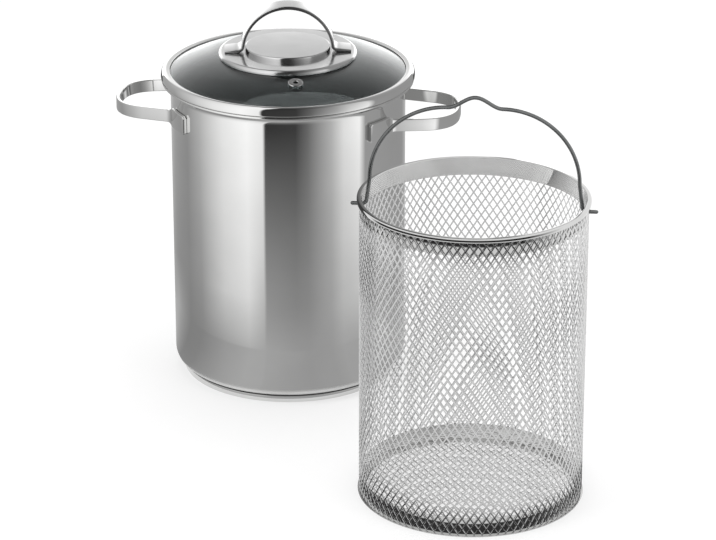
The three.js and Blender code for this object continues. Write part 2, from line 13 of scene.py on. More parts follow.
import bpy
import numpy as np
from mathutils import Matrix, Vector


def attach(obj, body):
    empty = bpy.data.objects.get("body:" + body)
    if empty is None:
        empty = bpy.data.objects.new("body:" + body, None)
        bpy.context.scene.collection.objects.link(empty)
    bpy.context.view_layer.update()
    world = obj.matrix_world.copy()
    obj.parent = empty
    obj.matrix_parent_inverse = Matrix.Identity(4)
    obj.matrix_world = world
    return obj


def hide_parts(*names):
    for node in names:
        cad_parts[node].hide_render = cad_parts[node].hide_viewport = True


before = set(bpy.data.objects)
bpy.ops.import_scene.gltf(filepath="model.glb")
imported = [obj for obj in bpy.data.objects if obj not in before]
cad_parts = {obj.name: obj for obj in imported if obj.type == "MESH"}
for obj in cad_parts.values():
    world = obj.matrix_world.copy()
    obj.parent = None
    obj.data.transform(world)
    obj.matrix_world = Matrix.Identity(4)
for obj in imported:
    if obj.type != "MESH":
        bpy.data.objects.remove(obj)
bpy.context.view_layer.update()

log = logging.getLogger("asparagus_pot")

MM = 0.001
SEAT = 0.2  # gap between a piece and the face that carries it
ROUND_STEPS = 192
SMALL_STEPS = 48
BEND_STEPS = 12
EDGE_STEPS = 5
AXIS_REACH = 1e-6  # profile points nearer to the axis than this are poles
TOUCH = 1e-6  # points of a chain nearer to the one before than this are dropped
CREASE = 38.0  # degrees between faces that shade as an edge
NOISE_LOW = 0.3  # usual span of a noise
NOISE_HIGH = 0.7
PATCH_DETAIL = 4.0  # octaves of finer blotches
LINE_DETAIL = 3.0
GRAIN_DETAIL = 2.0
LINE_STRENGTH = 0.5  # how much of a bump shows
GRAIN_STRENGTH = 0.4
GRAIN_DEPTH = 0.25  # of the grain's size
GLASS_IOR = 1.5
STRAND_SHARE = np.array([0.0, 0.65, 1.0, 0.65, 0.0])  # of a strand's half width, from crest to crest
STRAND_DEPTH = np.array([1.0, 0.9, 0.0, -0.9, -1.0])  # of its half thickness, at the same stations
TIP_STATIONS = np.array([0.0, 0.13, 0.5, 1.0])  # along a wire's rounded end, in wire radii
TIP_FLAT = 0.02  # square of the smallest share of the wire's radius at its end


class Body(Enum):
    """The bodies that pieces ride on."""

    POT = "pot"
    LID = "lid"
    BASKET = "basket"
    BAIL = "bail"


class Slot(Enum):
    """The record's material slots."""

    POLISHED = "polished_steel"
    SATIN = "satin_steel"
    MESH = "mesh_steel"
    WIRE = "wire_steel"
    ALUMINIUM = "core_aluminium"
    GLASS = "lid_glass"
    SILICONE = "silicone"


# Surfaces


@dataclass
class Surface:
    """A mesh as whole arrays.

    Attributes:
        points: one row per point, in millimetres.
        faces: four point numbers per face; a triangle repeats its last one.
        mark: a number per point for the material: on metal, the distance across its polishing lines in
        millimetres, and on a screen, how brightly it glows, which paints light and shade into reflections.
    """

    points: np.ndarray
    faces: np.ndarray
    mark: np.ndarray

    def placed(self, turn: float = 0.0, at: tuple[float, float, float] = (0.0, 0.0, 0.0)) -> "Surface":
        """Turns the surface about Z and then moves it.

        Args:
            turn: angle in degrees.
            at: where the surface's own origin goes.

        Returns:
            The placed surface.
        """
        return self.carried(turn_about_z(turn), at)

    def carried(self, axes: np.ndarray, at: tuple[float, float, float]) -> "Surface":
        """Carries the surface into another frame.

        Args:
            axes: three by three matrix that turns the points.
            at: where the surface's own origin goes.

        Returns:
            The surface in the other frame.
        """
        return Surface(self.points @ axes.T + np.array(at), self.faces, self.mark)

    def outward(self) -> "Surface":
        """Turns the faces round if the volume inside them comes out negative."""
        a, b, c, d = (self.points[self.faces[:, k]] for k in range(4))
        volume = np.einsum("ij,ij->", a, np.cross(b, c)) + np.einsum("ij,ij->", a, np.cross(c, d))
        faces = self.faces if volume > 0 else self.faces[:, [1, 0, 3, 2]]
        return Surface(self.points, triangles_last(faces), self.mark)


def turn_about_z(degrees: float) -> np.ndarray:
    """The matrix that turns points about Z by an angle in degrees."""
    cos, sin = math.cos(math.radians(degrees)), math.sin(math.radians(degrees))
    return np.array([[cos, -sin, 0.0], [sin, cos, 0.0], [0.0, 0.0, 1.0]])


def turn_about_y(degrees: float) -> np.ndarray:
    """The matrix that turns points about Y by an angle in degrees."""
    cos, sin = math.cos(math.radians(degrees)), math.sin(math.radians(degrees))
    return np.array([[cos, 0.0, sin], [0.0, 1.0, 0.0], [-sin, 0.0, cos]])


def triangles_last(faces: np.ndarray) -> np.ndarray:
    """Rolls each face that repeats a point so that the repeat comes last.

    Args:
        faces: four point numbers per face.

    Returns:
        The same faces, with any repeated point in the third and fourth place.
    """
    rolled = faces.copy()
    for shift in range(1, 4):
        repeats = rolled[:, 2] != rolled[:, 3]
        candidate = np.roll(faces, shift, axis=1)
        better = repeats & (candidate[:, 2] == candidate[:, 3])
        rolled[better] = candidate[better]
    return rolled


def grid_faces(index: np.ndarray, round_rows: bool, round_columns: bool) -> np.ndarray:
    """Faces between the neighbours of a grid of point numbers.

    Args:
        index: point numbers by row and column.
        round_rows: whether the last row meets the first.
        round_columns: whether the last column meets the first.

    Returns:
        Four point numbers per face, in the order here, next row, next row and column, next column.
    """
    below = np.roll(index, -1, axis=0)
    across = np.roll(index, -1, axis=1)
    both = np.roll(below, -1, axis=1)
    quads = np.stack([index, below, both, across], axis=-1)
    rows = slice(None) if round_rows else slice(0, -1)
    columns = slice(None) if round_columns else slice(0, -1)
    return quads[rows, columns].reshape(-1, 4)


def steps_along(points: np.ndarray) -> np.ndarray:
    """Distance of each point along a chain of points."""
    lengths = np.linalg.norm(np.diff(points, axis=0), axis=1)
    return np.concatenate([[0.0], np.cumsum(lengths)])


def arc(
    r: float, z: float, radius: float, start: float, end: float, steps: int = BEND_STEPS
) -> np.ndarray:
    """Points of an arc about (r, z): r + radius cos a and z + radius sin a.

    Args:
        r: centre's distance from the axis.
        z: centre's height.
        radius: the arc's radius.
        start: first angle in degrees.
        end: last angle in degrees.
        steps: number of steps.

    Returns:
        One (r, z) row per point.
    """
    angle = np.radians(np.linspace(start, end, steps + 1))
    return np.column_stack([r + radius * np.cos(angle), z + radius * np.sin(angle)])


def bend(a: np.ndarray, b: np.ndarray, c: np.ndarray, steps: int = BEND_STEPS) -> np.ndarray:
    """Points of a bend from a to c that leaves and arrives along the lines through b.

    Point t is (1-t)^2 a + 2t(1-t) b + t^2 c.

    Args:
        a: start.
        b: the corner that is rounded.
        c: end.
        steps: number of steps.

    Returns:
        One row per point.
    """
    t = np.linspace(0.0, 1.0, steps + 1)[:, None]
    return (1 - t) ** 2 * np.asarray(a) + 2 * t * (1 - t) * np.asarray(b) + t**2 * np.asarray(c)


def chain(*runs: np.ndarray | tuple[float, float]) -> np.ndarray:
    """Joins runs of points into one chain and drops points that repeat the one before.

    Args:
        runs: arrays of points, or single points.

    Returns:
        One row per point.
    """
    points = np.concatenate([np.atleast_2d(np.asarray(run, dtype=float)) for run in runs])
    moved = np.linalg.norm(np.diff(points, axis=0), axis=1) > TOUCH
    return points[np.concatenate([[True], moved])]


def turned(profile: np.ndarray, steps: int = ROUND_STEPS, closed: bool = False) -> Surface:
    """Turns a profile about Z.

    Point (i, j) is (r_j cos a_i, r_j sin a_i, z_j), with a_i stepping round a full turn. A profile point on
    the axis becomes one pole.

    Args:
        profile: one (r, z) row per point.
        steps: number of steps round the turn.
        closed: whether the profile's end meets its start, as a ring's does.

    Returns:
        The closed surface.
    """
    angle = np.linspace(0.0, 2 * math.pi, steps, endpoint=False)[:, None]
    r, z = profile.T
    grid = np.stack([r * np.cos(angle), r * np.sin(angle), z + 0 * angle], axis=-1)
    index = np.arange(grid[..., 0].size).reshape(grid.shape[:2])
    pole = r < AXIS_REACH
    index[:, pole] = index[0, pole]
    faces = grid_faces(index, True, closed)
    used, faces = np.unique(faces, return_inverse=True)
    run = np.tile(steps_along(profile), steps)
    return Surface(grid.reshape(-1, 3)[used], faces.reshape(-1, 4), run[used]).outward()


def rounded_rectangle(width: float | np.ndarray, height: float | np.ndarray, corner: float) -> np.ndarray:
    """Outline of a rectangle with round corners, for one section or for many along a path.

    Each corner is a quarter circle about (+-(width/2 - corner), +-(height/2 - corner)).

    Args:
        width: size along the first axis, a number or one per section.
        height: size along the second axis, likewise.
        corner: radius of the corners.

    Returns:
        Points by section, outline step and axis.
    """
    width = np.atleast_1d(np.asarray(width, dtype=float))[:, None, None]
    height = np.atleast_1d(np.asarray(height, dtype=float))[:, None, None]
    quarter = np.arange(4)[:, None] * math.pi / 2 + np.linspace(0.0, math.pi / 2, EDGE_STEPS + 1)
    across = np.array([1, -1, -1, 1])[:, None]
    up = np.array([1, 1, -1, -1])[:, None]
    x = across * (width / 2 - corner) + corner * np.cos(quarter)
    y = up * (height / 2 - corner) + corner * np.sin(quarter)
    x, y = np.broadcast_arrays(x, y)
    return np.stack([x, y], axis=-1).reshape(x.shape[0], -1, 2)


def round_section(radius: np.ndarray, sides: int) -> np.ndarray:
    """Circular sections along a path, one for each radius: radius times (cos a, sin a)."""
    angle = np.linspace(0.0, 2 * math.pi, sides, endpoint=False)
    circle = np.column_stack([np.cos(angle), np.sin(angle)])
    return radius[:, None, None] * circle


def swept(path: np.ndarray, side: np.ndarray, rise: np.ndarray, section: np.ndarray) -> Surface:
    """Carries a closed section along a path.

    Point (k, m) is path_k + a_km side_k + b_km rise_k, where (a, b) is the section. Each end gets a cap.

    Args:
        path: points that the section's middle follows.
        side: direction of the section's first axis at each path point.
        rise: direction of the section's second axis at each path point.
        section: points by path point, or one for all, then outline step and axis.

    Returns:
        The closed surface.
    """
    section = np.broadcast_to(section, (len(path), *section.shape[1:]))
    points = path[:, None] + section[..., :1] * side[:, None] + section[..., 1:] * rise[:, None]
    count = points.shape[1]
    index = np.arange(points[..., 0].size).reshape(points.shape[:2])
    first, last = index.size, index.size + 1
    near, far = index[0], index[-1]
    near_cap = np.column_stack([near, np.roll(near, -1), np.full((count, 2), first)])
    far_cap = np.column_stack([np.roll(far, -1), far, np.full((count, 2), last)])
    faces = np.concatenate([grid_faces(index, False, True), near_cap, far_cap])
    run = np.tile(steps_along(section[0]), len(path))
    ends = np.stack([points[0].mean(axis=0), points[-1].mean(axis=0)])
    all_points = np.concatenate([points.reshape(-1, 3), ends])
    return Surface(all_points, faces, np.concatenate([run, [0.0, 0.0]])).outward()


def directions(path: np.ndarray) -> np.ndarray:
    """Unit direction of travel at each point of a path."""
    along = np.gradient(path, axis=0)
    return along / np.linalg.norm(along, axis=1, keepdims=True)


@dataclass(frozen=True)
class DiamondNet:
    """Expanded metal: a sheet slit and stretched into strands round diamond openings.

    Attributes:
        half_wide: half of an opening's pitch along the first axis.
        half_tall: half of an opening's pitch along the second axis.
        strand: width of a strand.
        thick: thickness of a strand.
        tilt: how far a strand's edges lean out of the sheet, one forwards and one back.
    """

    half_wide: float
    half_tall: float
    strand: float
    thick: float
    tilt: float

    def net(self, columns: np.ndarray, rows: np.ndarray, around: int = 0) -> tuple[np.ndarray, np.ndarray]:
        """Strands round the openings at some places of the lattice.

        Opening (i, j), with i + j even, is a diamond whose corners are the bonds (i+-1, j) and (i, j+-1).
        From the strand's middle line to the opening, a half strand has five stations: front crest, front
        shoulder, edge, back shoulder and back crest. Crests are shared by neighbours.

        Args:
            columns: column of each opening.
            rows: row of each opening.
            around: number of columns after which the net meets itself, or 0.

        Returns:
            Points as (along the first axis, along the second, out of the sheet), and four point numbers per
            face.
        """
        corner = np.array([[1, 0], [0, 1], [-1, 0], [0, -1]])
        reach = self.half_wide * self.half_tall / math.hypot(self.half_wide, self.half_tall)
        shrink = 1 - STRAND_SHARE * self.strand / (2 * reach)

        middle = np.column_stack([columns, rows])[:, None, None, :]
        lattice = middle + corner[None, :, None, :] * shrink[None, None, :, None]
        lean = -self.tilt * STRAND_SHARE[None, :] * corner[:, :1]
        out = np.broadcast_to(STRAND_DEPTH * self.thick / 2 + lean, lattice.shape[:-1])
        points = np.stack([lattice[..., 0] * self.half_wide, lattice[..., 1] * self.half_tall, out], axis=-1)

        index = np.arange(out.size).reshape(out.shape)
        bonds = middle[:, :, 0] + corner
        bond_column = bonds[..., 0] % around if around else bonds[..., 0]
        keys = np.stack([bond_column, bonds[..., 1]], axis=-1).reshape(-1, 2)
        _, first, bond = np.unique(keys, axis=0, return_index=True, return_inverse=True)
        bond = bond.reshape(bonds.shape[:2])
        tile, side = np.unravel_index(first[bond], bonds.shape[:2])
        for crest in (0, -1):
            index[:, :, crest] = np.arange(out.size).reshape(out.shape)[tile, side, crest]

        ahead = np.roll(index, -1, axis=1)
        here, there = index[:, :, :-1], ahead[:, :, :-1]
        quads = np.stack([here, there, ahead[:, :, 1:], index[:, :, 1:]], axis=-1).reshape(-1, 4)
        edges = np.sort(np.stack([bond, np.roll(bond, -1, axis=1)], axis=-1), axis=-1)
        _, which, count = np.unique(edges.reshape(-1, 2), axis=0, return_inverse=True, return_counts=True)
        lone = count[which.ravel()].reshape(bond.shape) == 1
        rim = np.stack([ahead[..., 0], index[..., 0], index[..., -1], ahead[..., -1]], axis=-1)[lone]
        used, faces = np.unique(np.concatenate([quads, rim]), return_inverse=True)
        return points.reshape(-1, 3)[used], faces.reshape(-1, 4)


# Finishes


class Nodes:
    """Adds nodes to one material and links them."""

    def __init__(self, name: str) -> None:
        """Starts a material with a Principled shader.

        Args:
            name: the material's name.
        """
        self.material = bpy.data.materials.new(name)
        self.material.use_nodes = True
        self.tree = self.material.node_tree
        self.shader = self.tree.nodes["Principled BSDF"]

    def add(self, kind: str, settings: dict[str, object] | None = None, **inputs: object) -> bpy.types.Node:
        """Adds a node.

        Args:
            kind: Blender's name of the node type.
            settings: properties to set on the node.
            inputs: values for its sockets, or sockets to link to them; underscores stand for spaces.

        Returns:
            The node.
        """
        node = self.tree.nodes.new(kind)
        for key, value in (settings or {}).items():
            setattr(node, key, value)
        for key, value in inputs.items():
            self.feed(node.inputs[key.replace("_", " ")], value)
        return node

    def feed(self, socket: bpy.types.NodeSocket, value: object) -> None:
        """Links a socket to an input, or sets the input's own value.

        Args:
            socket: the input.
            value: an output socket, or a plain value.
        """
        if isinstance(value, bpy.types.NodeSocket):
            self.tree.links.new(value, socket)
        else:
            socket.default_value = value

    def dress(self, **inputs: object) -> bpy.types.Material:
        """Feeds the shader's sockets, underscores standing for spaces, and gives the material."""
        for key, value in inputs.items():
            self.feed(self.shader.inputs[key.replace("_", " ")], value)
        return self.material

    def patches(self, size: float, detail: float = PATCH_DETAIL) -> bpy.types.NodeSocket:
        """Soft blotches on Object coordinates.

        Args:
            size: size of a blotch in millimetres.
            detail: octaves of finer blotches.

        Returns:
            A factor from 0 to 1.
        """
        place = self.add("ShaderNodeTexCoord").outputs["Object"]
        noise = self.add("ShaderNodeTexNoise", Vector=place, Scale=1 / (size * MM), Detail=detail)
        return noise.outputs["Fac"]

    def lines(self, width: float) -> bpy.types.NodeSocket:
        """Polishing lines across the piece's own run.

        Args:
            width: width of a line in millimetres.

        Returns:
            A factor from 0 to 1.
        """
        run = self.add("ShaderNodeAttribute", {"attribute_name": "mark"}).outputs["Fac"]
        along = {"noise_dimensions": "1D"}
        noise = self.add("ShaderNodeTexNoise", along, W=run, Scale=1 / width, Detail=LINE_DETAIL)
        return noise.outputs["Fac"]

    def between(self, factor: bpy.types.NodeSocket, low: float, high: float) -> bpy.types.NodeSocket:
        """Maps a noise's usual span onto a range.

        Args:
            factor: the noise.
            low: value at the span's start.
            high: value at its end.

        Returns:
            The mapped value.
        """
        span = {"From_Min": NOISE_LOW, "From_Max": NOISE_HIGH, "To_Min": low, "To_Max": high}
        return self.add("ShaderNodeMapRange", Value=factor, **span).outputs["Result"]

    def within(self, radius: float) -> bpy.types.NodeSocket:
        """Tells what is nearer to the upright axis than a radius, on Object coordinates.

        Args:
            radius: the radius in millimetres.

        Returns:
            A factor, 1 within the radius and 0 beyond it.
        """
        flat = self.add("ShaderNodeVectorMath", {"operation": "MULTIPLY"})
        self.feed(flat.inputs[0], self.add("ShaderNodeTexCoord").outputs["Object"])
        self.feed(flat.inputs[1], (1.0, 1.0, 0.0))
        reach = self.add("ShaderNodeVectorMath", {"operation": "LENGTH"})
        self.feed(reach.inputs[0], flat.outputs[0])
        test = self.add("ShaderNodeMath", {"operation": "LESS_THAN"})
        self.feed(test.inputs[0], reach.outputs["Value"])
        self.feed(test.inputs[1], radius * MM)
        return test.outputs[0]

    def blend(
        self, factor: bpy.types.NodeSocket, low: tuple[float, float, float], high: tuple[float, float, float]
    ) -> bpy.types.NodeSocket:
        """Colours from low to high over a noise's usual span.

        Args:
            factor: the noise.
            low: colour at the span's start.
            high: colour at its end.

        Returns:
            The colour.
        """
        ramp = self.add("ShaderNodeValToRGB", Fac=factor)
        ends = ((NOISE_LOW, low), (NOISE_HIGH, high))
        for stop, (position, colour) in zip(ramp.color_ramp.elements, ends):
            stop.position = position
            stop.color = (*colour, 1.0)
        return ramp.outputs["Color"]

    def bump(self, height: bpy.types.NodeSocket, depth: float, strength: float) -> bpy.types.NodeSocket:
        """A bump from a height.

        Args:
            height: factor from 0 to 1.
            depth: height of 1 in millimetres.
            strength: how much of it shows.

        Returns:
            The bent normal.
        """
        node = self.add("ShaderNodeBump", Height=height, Distance=depth * MM, Strength=strength)
        return node.outputs["Normal"]


@dataclass(frozen=True)
class MetalFinish:
    """Metal with polishing lines across its run and faint smudges.

    Attributes:
        name: the material's name.
        colour: colour where it is clean.
        smudge: colour where it is smudged.
        roughness: least and greatest roughness.
        line_width: width of a polishing line in millimetres.
        line_depth: depth of a polishing line in millimetres.
        patch: size of a smudge in millimetres.
    """

    name: str
    colour: tuple[float, float, float]
    smudge: tuple[float, float, float]
    roughness: tuple[float, float]
    line_width: float
    line_depth: float
    patch: float

    def material(self) -> bpy.types.Material:
        """Makes the material."""
        nodes = Nodes(self.name)
        patches = nodes.patches(self.patch)
        lines = nodes.lines(self.line_width)
        return nodes.dress(
            Metallic=1.0,
            Base_Color=nodes.blend(patches, self.colour, self.smudge),
            Roughness=self.gloss(nodes, patches),
            Normal=nodes.bump(lines, self.line_depth, LINE_STRENGTH),
        )

    def gloss(self, nodes: Nodes, patches: bpy.types.NodeSocket) -> bpy.types.NodeSocket:
        """Roughness between its limits, greatest where it is smudged.

        Args:
            nodes: the material's nodes.
            patches: the smudges.

        Returns:
            The roughness.
        """
        return nodes.between(patches, *self.roughness)


@dataclass(frozen=True)
class LinedFinish(MetalFinish):
    """Metal that is satin near the upright axis, as a pot is inside.

    Attributes:
        bore: radius within which it is satin, in millimetres.
        lining: least and greatest roughness there.
    """

    bore: float
    lining: tuple[float, float]

    def gloss(self, nodes: Nodes, patches: bpy.types.NodeSocket) -> bpy.types.NodeSocket:
        """Roughness of the outside, and within the bore that of the lining.

        Args:
            nodes: the material's nodes.
            patches: the smudges.

        Returns:
            The roughness.
        """
        choice = nodes.add("ShaderNodeMapRange", Value=nodes.within(self.bore))
        nodes.feed(choice.inputs["To Min"], nodes.between(patches, *self.roughness))
        nodes.feed(choice.inputs["To Max"], nodes.between(patches, *self.lining))
        return choice.outputs["Result"]


@dataclass(frozen=True)
class GlassFinish:
    """Tempered glass with the faintest smears.

    Attributes:
        name: the material's name.
        tint: colour of the light that passes one face.
        roughness: least and greatest roughness.
        patch: size of a smear in millimetres.
    """

    name: str
    tint: tuple[float, float, float]
    roughness: tuple[float, float]
    patch: float

    def material(self) -> bpy.types.Material:
        """Makes the material."""
        nodes = Nodes(self.name)
        return nodes.dress(
            Base_Color=(*self.tint, 1.0),
            Transmission_Weight=1.0,
            IOR=GLASS_IOR,
            Roughness=nodes.between(nodes.patches(self.patch), *self.roughness),
        )


@dataclass(frozen=True)
class RubberFinish:
    """Moulded silicone with a fine matt grain.

    Attributes:
        name: the material's name.
        colour: colour of the raised grain.
        hollow: colour between the grain.
        roughness: roughness between the grain and on it.
        grain: size of the grain in millimetres.
    """

    name: str
    colour: tuple[float, float, float]
    hollow: tuple[float, float, float]
    roughness: tuple[float, float]
    grain: float

    def material(self) -> bpy.types.Material:
        """Makes the material."""
        nodes = Nodes(self.name)
        grain = nodes.patches(self.grain, GRAIN_DETAIL)
        return nodes.dress(
            Base_Color=nodes.blend(grain, self.hollow, self.colour),
            Roughness=nodes.between(grain, *self.roughness),
            Normal=nodes.bump(grain, self.grain * GRAIN_DEPTH, GRAIN_STRENGTH),
        )


Finish = MetalFinish | GlassFinish | RubberFinish

POLISHED = MetalFinish(
    "polished_steel", (0.72, 0.72, 0.715), (0.67, 0.67, 0.665), (0.03, 0.07), 0.35, 0.0008, 45.0
)
SATIN = MetalFinish("satin_steel", (0.64, 0.64, 0.64), (0.59, 0.59, 0.59), (0.12, 0.2), 0.18, 0.004, 20.0)
MESH = MetalFinish("mesh_steel", (0.76, 0.76, 0.76), (0.7, 0.7, 0.7), (0.16, 0.24), 0.5, 0.004, 15.0)
WIRE = MetalFinish("wire_steel", (0.2, 0.205, 0.205), (0.15, 0.155, 0.155), (0.2, 0.3), 0.3, 0.004, 12.0)
ALUMINIUM = MetalFinish(
    "core_aluminium", (0.62, 0.63, 0.64), (0.54, 0.55, 0.56), (0.4, 0.5), 0.6, 0.02, 25.0
)
GLASS = GlassFinish("lid_glass", (0.34, 0.38, 0.38), (0.0, 0.03), 30.0)
SILICONE = RubberFinish("silicone", (0.06, 0.065, 0.065), (0.045, 0.05, 0.05), (0.75, 0.55), 0.6)

FINISHES: dict[Slot, Finish] = {
    Slot.POLISHED: POLISHED,
    Slot.SATIN: SATIN,
    Slot.MESH: MESH,
    Slot.WIRE: WIRE,
    Slot.ALUMINIUM: ALUMINIUM,
    Slot.GLASS: GLASS,
    Slot.SILICONE: SILICONE,
}


@cache
def material_of(slot: Slot) -> bpy.types.Material:
    """Makes a slot's material the first time that a piece asks for it."""
    return FINISHES[slot].material()


# Pieces


def mesh_object(name: str, surface: Surface) -> bpy.types.Object:
    """Puts a surface into a new object at the origin.

    Args:
        name: the object's name.
        surface: its mesh, in millimetres.

    Returns:
        The object, in metres, smooth but for its creases.
    """
    triangle = surface.faces[:, 2] == surface.faces[:, 3]
    faces = surface.faces[~triangle].tolist() + surface.faces[triangle, :3].tolist()
    mesh = bpy.data.meshes.new(name)
    mesh.from_pydata((surface.points * MM).tolist(), [], faces)
    mark = mesh.attributes.new("mark", "FLOAT", "POINT")
    mark.data.foreach_set("value", surface.mark.astype(np.float32))
    mesh.polygons.foreach_set("use_smooth", np.ones(len(mesh.polygons), dtype=bool))
    mesh.set_sharp_from_angle(angle=math.radians(CREASE))
    mesh.update()
    made = bpy.data.objects.new(name, mesh)
    bpy.context.scene.collection.objects.link(made)
    return made


def make_piece(
    name: str, surface: Surface, slot: Slot, body: Body, *nodes: str, finish: Finish | None = None
) -> bpy.types.Object:
    """Makes a piece, dresses it and lets it ride on a body in place of its solids.

    Args:
        name: the piece's name.
        surface: its mesh, in millimetres.
        slot: the record's slot, which settles the finish.
        body: the body that it rides on.
        nodes: the solids that it stands for.
        finish: a finish of its own.

    Returns:
        The piece.
    """
    piece = mesh_object(name, surface)
    piece.data.materials.append(finish.material() if finish else material_of(slot))
    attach(piece, body.value)
    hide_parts(*nodes)
    log.info("%s: %d faces on %s", name, len(piece.data.polygons), body.value)
    return piece


def cut(piece: bpy.types.Object, *tools: Surface) -> None:
    """Cuts closed surfaces out of a piece and keeps the result as its mesh.

    Args:
        piece: the piece.
        tools: the surfaces to take away, in millimetres.
    """
    for surface in tools:
        tool = mesh_object(piece.name + "_tool", surface)
        boolean = piece.modifiers.new("cut", "BOOLEAN")
        boolean.operation = "DIFFERENCE"
        boolean.solver = "EXACT"
        boolean.object = tool
        evaluated = piece.evaluated_get(bpy.context.evaluated_depsgraph_get())
        mesh = bpy.data.meshes.new_from_object(evaluated)
        piece.modifiers.remove(boolean)
        piece.data = mesh
        bpy.data.objects.remove(tool)
    piece.data.set_sharp_from_angle(angle=math.radians(CREASE))


def rod(radius: float, bottom: float, top: float) -> Surface:
    """A plain round rod along Z, used to cut holes."""
    return turned(chain((0.0, bottom), (radius, bottom), (radius, top), (0.0, top)), SMALL_STEPS)


def soft_ring(inner: float, outer: float, bottom: float, top: float, edge: float) -> Surface:
    """A ring of rectangular section with rounded edges.

    Args:
        inner: bore radius.
        outer: outside radius.
        bottom: height of the lower face.
        top: height of the upper face.
        edge: radius of the edges.

    Returns:
        The ring about Z.
    """
    outline = rounded_rectangle(outer - inner, top - bottom, edge)[0]
    return turned(outline + np.array([(inner + outer) / 2, (bottom + top) / 2]), SMALL_STEPS, closed=True)


@dataclass
class Pot:
    """The deep-drawn pot, its layered base and its two side handles. Lengths in millimetres."""

    bore: float = 80.0
    wall: float = 1.0
    height: float = 213.3
    corner: float = 10.0
    flare_bend: float = 6.0
    flare_sweep: float = 72.0
    bead: float = 1.0
    bead_sweep: float = 140.0
    base_radius: float = 75.0
    base_height: float = 5.0
    cap_sheet: float = 0.8
    cap_edge: float = 1.2
    reach: float = 38.5
    drop: float = 21.0
    half_end: float = 25.0
    strap: float = 2.6
    tall: float = 8.7
    end_bend: float = 22.0
    wall_bend: float = 4.0
    pad_tall: float = 13.5
    pad_start: float = 24.0
    pad_end: float = 40.0
    strap_edge: float = 0.7
    pad_fade: float = 1.5  # in wall bends, over which a pad falls to the strap's height
    pad_round: float = 2.0  # length of a pad's rounded end
    pad_round_fall: float = 3.0  # how much lower the pad is at that end
    inside_roughness: tuple[float, float] = (0.34, 0.44)

    @property
    def wall_radius(self) -> float:
        """Outside of the wall."""
        return self.bore + self.wall

    @property
    def floor(self) -> float:
        """Height of the pot's floor inside."""
        return self.base_height + self.wall

    def lip(self) -> tuple[float, float, float]:
        """Centre of the rolled lip and the angle at which the sheet runs into it.

        Returns:
            Distance from the axis, height and angle in degrees.
        """
        sheet = math.radians(180 - self.flare_sweep)
        nose = sheet - math.pi / 2
        reach = self.flare_bend + self.wall / 2
        out = self.wall_radius + self.flare_bend + reach * math.cos(sheet) + self.bead * math.cos(nose)
        return out, self.height - self.bead, math.degrees(nose)

    @property
    def lip_reach(self) -> float:
        """Outermost distance of the lip from the axis."""
        return self.lip()[0] + self.bead

    def body_profile(self) -> np.ndarray:
        """Section of the drawn pot: floor, corner, wall, flared mouth and rolled lip, and back inside."""
        corner_out = self.wall_radius - self.corner
        corner_high = self.base_height + self.corner
        lip_out, lip_high, nose = self.lip()
        flare_out = self.wall_radius + self.flare_bend
        sheet = 180 - self.flare_sweep
        rise = (self.flare_bend + self.wall / 2) * math.sin(math.radians(sheet))
        flare_high = lip_high - rise - self.bead * math.sin(math.radians(nose))
        return chain(
            (0.0, self.base_height),
            arc(corner_out, corner_high, self.corner, -90, 0),
            arc(flare_out, flare_high, self.flare_bend, 180, sheet),
            arc(lip_out, lip_high, self.bead, nose - self.bead_sweep, nose + self.bead_sweep),
            arc(flare_out, flare_high, self.flare_bend + self.wall, sheet, 180),
            arc(corner_out, corner_high, self.corner - self.wall, 0, -90),
            (0.0, self.floor),
        )

    def cap_profile(self) -> np.ndarray:
        """Section of the cup under the pot, with a rounded lower edge."""
        bore = self.base_radius - self.cap_sheet
        top = self.base_height - SEAT
        return chain(
            (0.0, 0.0),
            arc(self.base_radius - self.cap_edge, self.cap_edge, self.cap_edge, -90, 0),
            arc(self.base_radius - self.cap_sheet / 2, top - self.cap_sheet / 2, self.cap_sheet / 2, 0, 180),
            (bore, self.cap_sheet),
            (0.0, self.cap_sheet),
        )

    def core_profile(self) -> np.ndarray:
        """Section of the aluminium disc between the cup and the pot."""
        radius = self.base_radius - self.cap_sheet - SEAT
        bottom, top = self.cap_sheet + SEAT, self.base_height - SEAT
        return chain((0.0, bottom), (radius, bottom), (radius, top), (0.0, top))

    def handle(self) -> Surface:
        """One side handle about its own height: a strap from pad to pad, carried along its plan.

        The plan runs along the wall, bends out to the leg, round the loop's end and back. The strap is tall
        on the wall and falls smoothly to its own height on the leg.

        Returns:
            The handle on the +X side.
        """
        on_wall = self.wall_radius + SEAT + self.strap / 2
        outside = self.wall_radius + self.reach - self.strap / 2
        start = math.radians(-self.pad_start)
        end = np.array([outside, -self.half_end])
        foot = on_wall * np.array([math.cos(start), math.sin(start)])
        leg = (end - foot) / np.linalg.norm(end - foot)
        bend_start = -self.pad_start - math.degrees(self.wall_bend / on_wall)
        pad = arc(0.0, 0.0, on_wall, -self.pad_end, bend_start)
        half = chain(
            pad,
            bend(pad[-1], foot, foot + self.wall_bend * leg),
            bend(end - self.end_bend * leg, end, end + np.array([0.0, self.end_bend])),
            (outside, 0.0),
        )
        plan = chain(half, half[::-1] * np.array([1.0, -1.0]))
        along = steps_along(plan)
        from_end = np.minimum(along, along[-1] - along)
        pad_length = on_wall * math.radians(self.pad_end - self.pad_start)
        fade = np.clip((from_end - pad_length + self.wall_bend) / (self.pad_fade * self.wall_bend), 0.0, 1.0)
        fade = fade * fade * (3 - 2 * fade)
        near_end = np.clip(1 - from_end / self.pad_round, 0.0, 1.0)
        fall = self.pad_round_fall * (1 - np.sqrt(1 - near_end**2))
        tall = self.pad_tall + (self.tall - self.pad_tall) * fade - fall
        travel = directions(plan)
        path = np.column_stack([plan, np.zeros(len(plan))])
        side = np.column_stack([-travel[:, 1], travel[:, 0], np.zeros(len(plan))])
        rise = np.tile([0.0, 0.0, 1.0], (len(plan), 1))
        return swept(path, side, rise, rounded_rectangle(self.strap, tall, self.strap_edge))

